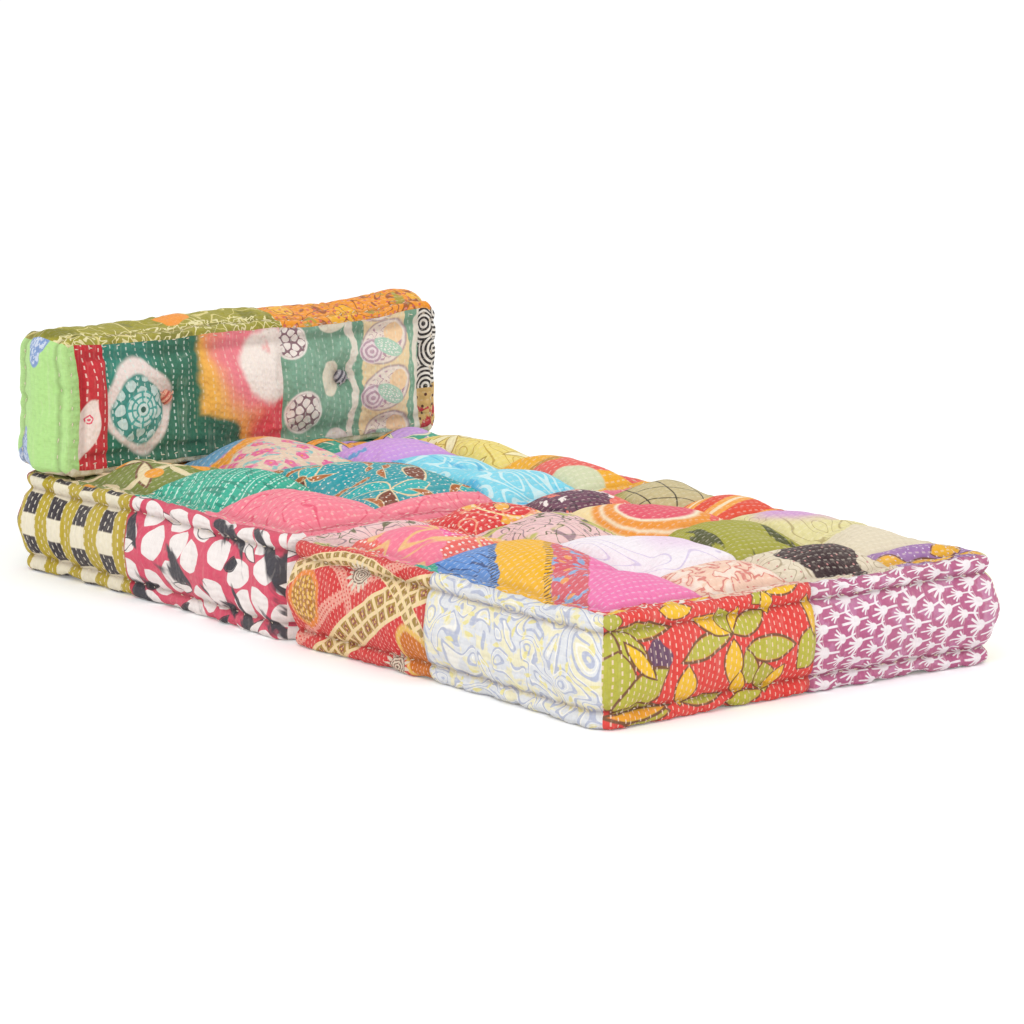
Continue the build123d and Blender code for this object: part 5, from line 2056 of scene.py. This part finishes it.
@dataclass(frozen=True)
class Studio:
    """Pale floor, even light, and the camera at the photograph's angle."""

    camera_at: tuple[float, float, float] = (-4.049, -5.29, 1.373)
    yaw: float = 37.76
    pitch: float = 10.43
    lens: float = 166.6
    sensor: float = 36.0
    floor_reach: float = 30.0
    floor_glow: float = 0.16
    daylight: float = 0.94

    def build(self) -> None:
        """Makes the floor, the lights, the world and the camera."""
        scene = bpy.context.scene
        scene.view_settings.view_transform = "Standard"
        self.build_floor()
        self.build_world()
        self.build_lamp("key_light", (-2.6, -2.2, 3.4), 2.2, 38.0)
        self.build_lamp("fill_light", (2.8, -2.6, 2.2), 2.8, 10.0)
        data = bpy.data.cameras.new("camera")
        data.lens, data.sensor_width = self.lens, self.sensor
        data.clip_start, data.clip_end = 0.1, 100.0
        camera = bpy.data.objects.new("camera", data)
        scene.collection.objects.link(camera)
        yaw, pitch = math.radians(self.yaw), math.radians(self.pitch)
        look = Vector((math.sin(yaw) * math.cos(pitch), math.cos(yaw) * math.cos(pitch), -math.sin(pitch)))
        camera.location = self.camera_at
        camera.rotation_euler = look.to_track_quat("-Z", "Y").to_euler()
        scene.camera = camera

    def build_floor(self) -> None:
        """A wide pale floor that keeps the object's shadow."""
        bm = bmesh.new()
        bmesh.ops.create_grid(bm, x_segments=1, y_segments=1, size=self.floor_reach)
        mesh = bpy.data.meshes.new("floor")
        bm.to_mesh(mesh)
        bm.free()
        material, weaver, shader = blank_finish("pale_floor")
        cloud = weaver.add("ShaderNodeTexNoise", {"Scale": 3.0, "Detail": 2.0})["Fac"]
        weaver.dress(shader, {
            "Base Color": weaver.mix(cloud, dye("fafafa"), dye("fcfcfc")),
            "Roughness": 0.95,
            "Specular IOR Level": 0.0,
            "Emission Color": (1.0, 1.0, 1.0, 1.0),
            "Emission Strength": self.seen_plainly(weaver) * self.floor_glow,
        })
        mesh.materials.append(material)
        floor = bpy.data.objects.new("floor", mesh)
        bpy.context.scene.collection.objects.link(floor)

    @staticmethod
    def seen_plainly(weaver: Weaver) -> Wire:
        """Tells what is looked at from what only gives light.

        Args:
            weaver: The finish's tree.

        Returns:
            1 for what the camera sees, by itself, in a reflection or through something, and 0 else.
        """
        rays = weaver.add("ShaderNodeLightPath", {})
        seen = weaver.maths("MAXIMUM", rays["Is Camera Ray"], rays["Is Glossy Ray"])
        return weaver.maths("MAXIMUM", seen, rays["Is Transmission Ray"])

    def build_world(self) -> None:
        """Even light from all round, with a white background for the camera."""
        world = bpy.data.worlds.new("studio")
        bpy.context.scene.world = world
        world.use_nodes = True
        weaver = Weaver(world.node_tree)
        strength = self.seen_plainly(weaver) * (1.0 - self.daylight) + self.daylight
        background = world.node_tree.nodes["Background"]
        weaver.dress(background, {"Color": (1.0, 1.0, 1.0, 1.0), "Strength": strength})

    @staticmethod
    def build_lamp(name: str, at: tuple[float, float, float], size: float, power: float) -> None:
        """A large soft lamp that faces the object.

        Args:
            name: The lamp's name.
            at: Its place.
            size: Width of its square face.
            power: Its power in watts.
        """
        data = bpy.data.lights.new(name, "AREA")
        data.size, data.energy = size, power
        lamp = bpy.data.objects.new(name, data)
        bpy.context.scene.collection.objects.link(lamp)
        lamp.location = at
        lamp.rotation_euler = (Vector((0, 0, 0.15)) - Vector(at)).to_track_quat("-Z", "Y").to_euler()


SEAT = dict(
    face="top",
    back="underside",
    width=0.7,
    depth=0.7,
    thickness=0.15,
    back_crown=0.0,
    hill=0.022,
    tufts=((0.0, 0.0), (-0.23, -0.23), (0.23, -0.23), (-0.23, 0.23), (0.23, 0.23)),
    tuft_floor=0.136,
    tuft_reach=0.044,
    back_tuft_floor=0.012,
    back_cotton="under_cotton",
)

FRONT_SEAT = Cushion(
    name="front_seat",
    crown=0.02,
    strips=(
        Strip(-0.147, ((0.08, "blue_dash"), (0.25, "coral_dots"), (0.35, "pink_grey"))),
        Strip(0.007, (
            (-0.21, "peach_scribble"), (0.02, "white_lines"), (0.19, "pink_grey"), (0.35, "red_hook"),
        )),
        Strip(0.175, (
            (-0.2, "dark_lace"), (0.0, "olive_stroke"), (0.19, "paisley_orange"), (0.35, "plum_abstract"),
        )),
        Strip(0.35, (
            (-0.27, "purple_petal"), (0.03, "beige_fine"), (0.16, "sunset_stripe"), (0.35, "olive_net"),
        )),
    ),
    bands={
        Side.NEAR: ((0.014, "coral_leaf"), (0.35, "mauve_fern")),
        Side.RIGHT: ((0.042, "beige_fine"), (0.35, "olive_net")),
        Side.FAR: ((0.35, "plum_abstract"),),
        Side.LEFT: ((-0.032, "red_grid"), (0.35, "pale_swirl")),
    },
    pressed=(Side.FAR,),
    pressed_length=0.0,
    bands_nodes=(
        "band_front_left", "band_front_right", "band_right_front", "band_right_back", "band_back",
        "band_left_front", "band_left_back",
    ),
    seed=11,
    **SEAT,
)

REAR_SEAT = Cushion(
    name="rear_seat",
    crown=0.023,
    strips=(
        Strip(-0.14, ((-0.12, "salmon"), (0.06, "teal_streak"), (0.35, "olive_cream"))),
        Strip(0.049, ((-0.27, "salmon"), (0.02, "teal_brown"), (0.35, "orange_pastel"))),
        Strip(0.203, ((-0.02, "sky_water"), (0.11, "lavender"), (0.35, "green_leaf"))),
        Strip(0.35, ((-0.12, "amber_coral"), (0.12, "yellow_fine"), (0.35, "green_leaf"))),
    ),
    bands={
        Side.NEAR: ((-0.315, "pebbles"), (0.35, "salmon")),
        Side.RIGHT: ((-0.035, "amber_coral"), (0.35, "yellow_fine")),
        Side.FAR: ((-0.021, "teal_brown"), (0.35, "olive_cream")),
        Side.LEFT: ((-0.056, "check"), (0.35, "pebbles")),
    },
    pressed=(Side.NEAR,),
    pressed_length=0.128,
    bands_nodes=(
        "band_front", "band_right_front", "band_right_back", "band_back_left", "band_back_right",
        "band_left_front", "band_left_back",
    ),
    seed=23,
    **SEAT,
)

BACKREST = Cushion(
    name="backrest",
    face="front",
    back="back",
    width=0.7,
    depth=0.212,
    thickness=0.128,
    crown=0.009,
    back_crown=0.009,
    hill=0.01,
    tufts=((-0.23, 0.0), (0.23, 0.0)),
    tuft_floor=0.117,
    tuft_reach=0.036,
    back_tuft_floor=0.011,
    strips=(
        Strip(-0.327, ((0.106, "lime"),)),
        Strip(-0.2765, ((0.106, "red_kantha"),)),
        Strip(-0.119, ((0.106, "bottle_green"),)),
        Strip(0.042, ((0.106, "tie_dye"),)),
        Strip(0.31, ((0.106, "sage_paisley"),)),
        Strip(0.35, ((-0.034, "beige_spots"), (0.106, "black_rings"))),
    ),
    bands={
        Side.NEAR: ((0.35, "under_cotton"),),
        Side.RIGHT: ((0.106, "black_rings"),),
        Side.FAR: ((-0.049, "amber_paisley"), (0.35, "olive_squiggle")),
        Side.LEFT: ((0.106, "lime"),),
    },
    back_cotton="olive_squiggle",
    pressed=(Side.NEAR,),
    pressed_length=0.0,
    bands_nodes=("band_underside", "band_right_end", "band_top_left", "band_top_right", "band_left_end"),
    seed=37,
    cell=0.007,
    corner_reach=0.02,
    roll=0.018,
    channel=0.004,
    face_channel=0.006,
    swell=0.009,
    slackness=0.0065,
    knots=(("f6b99c", "bb4f3c"), ("c9c2c6", "4a4450")),
    knot_radius=0.0118,
)


def main() -> None:
    """Builds the studio and the three modules, and reports each piece."""
    logging.basicConfig(level=logging.INFO, format="%(name)s: %(message)s")
    Studio().build()
    for module in (FRONT_SEAT, REAR_SEAT, BACKREST):
        cover = module.build_cover()
        knots = module.build_knots(cover)
        for piece in (cover, knots):
            log.info("%s has %d faces", piece.name, len(piece.data.polygons))


if __name__ == "__main__":
    main()
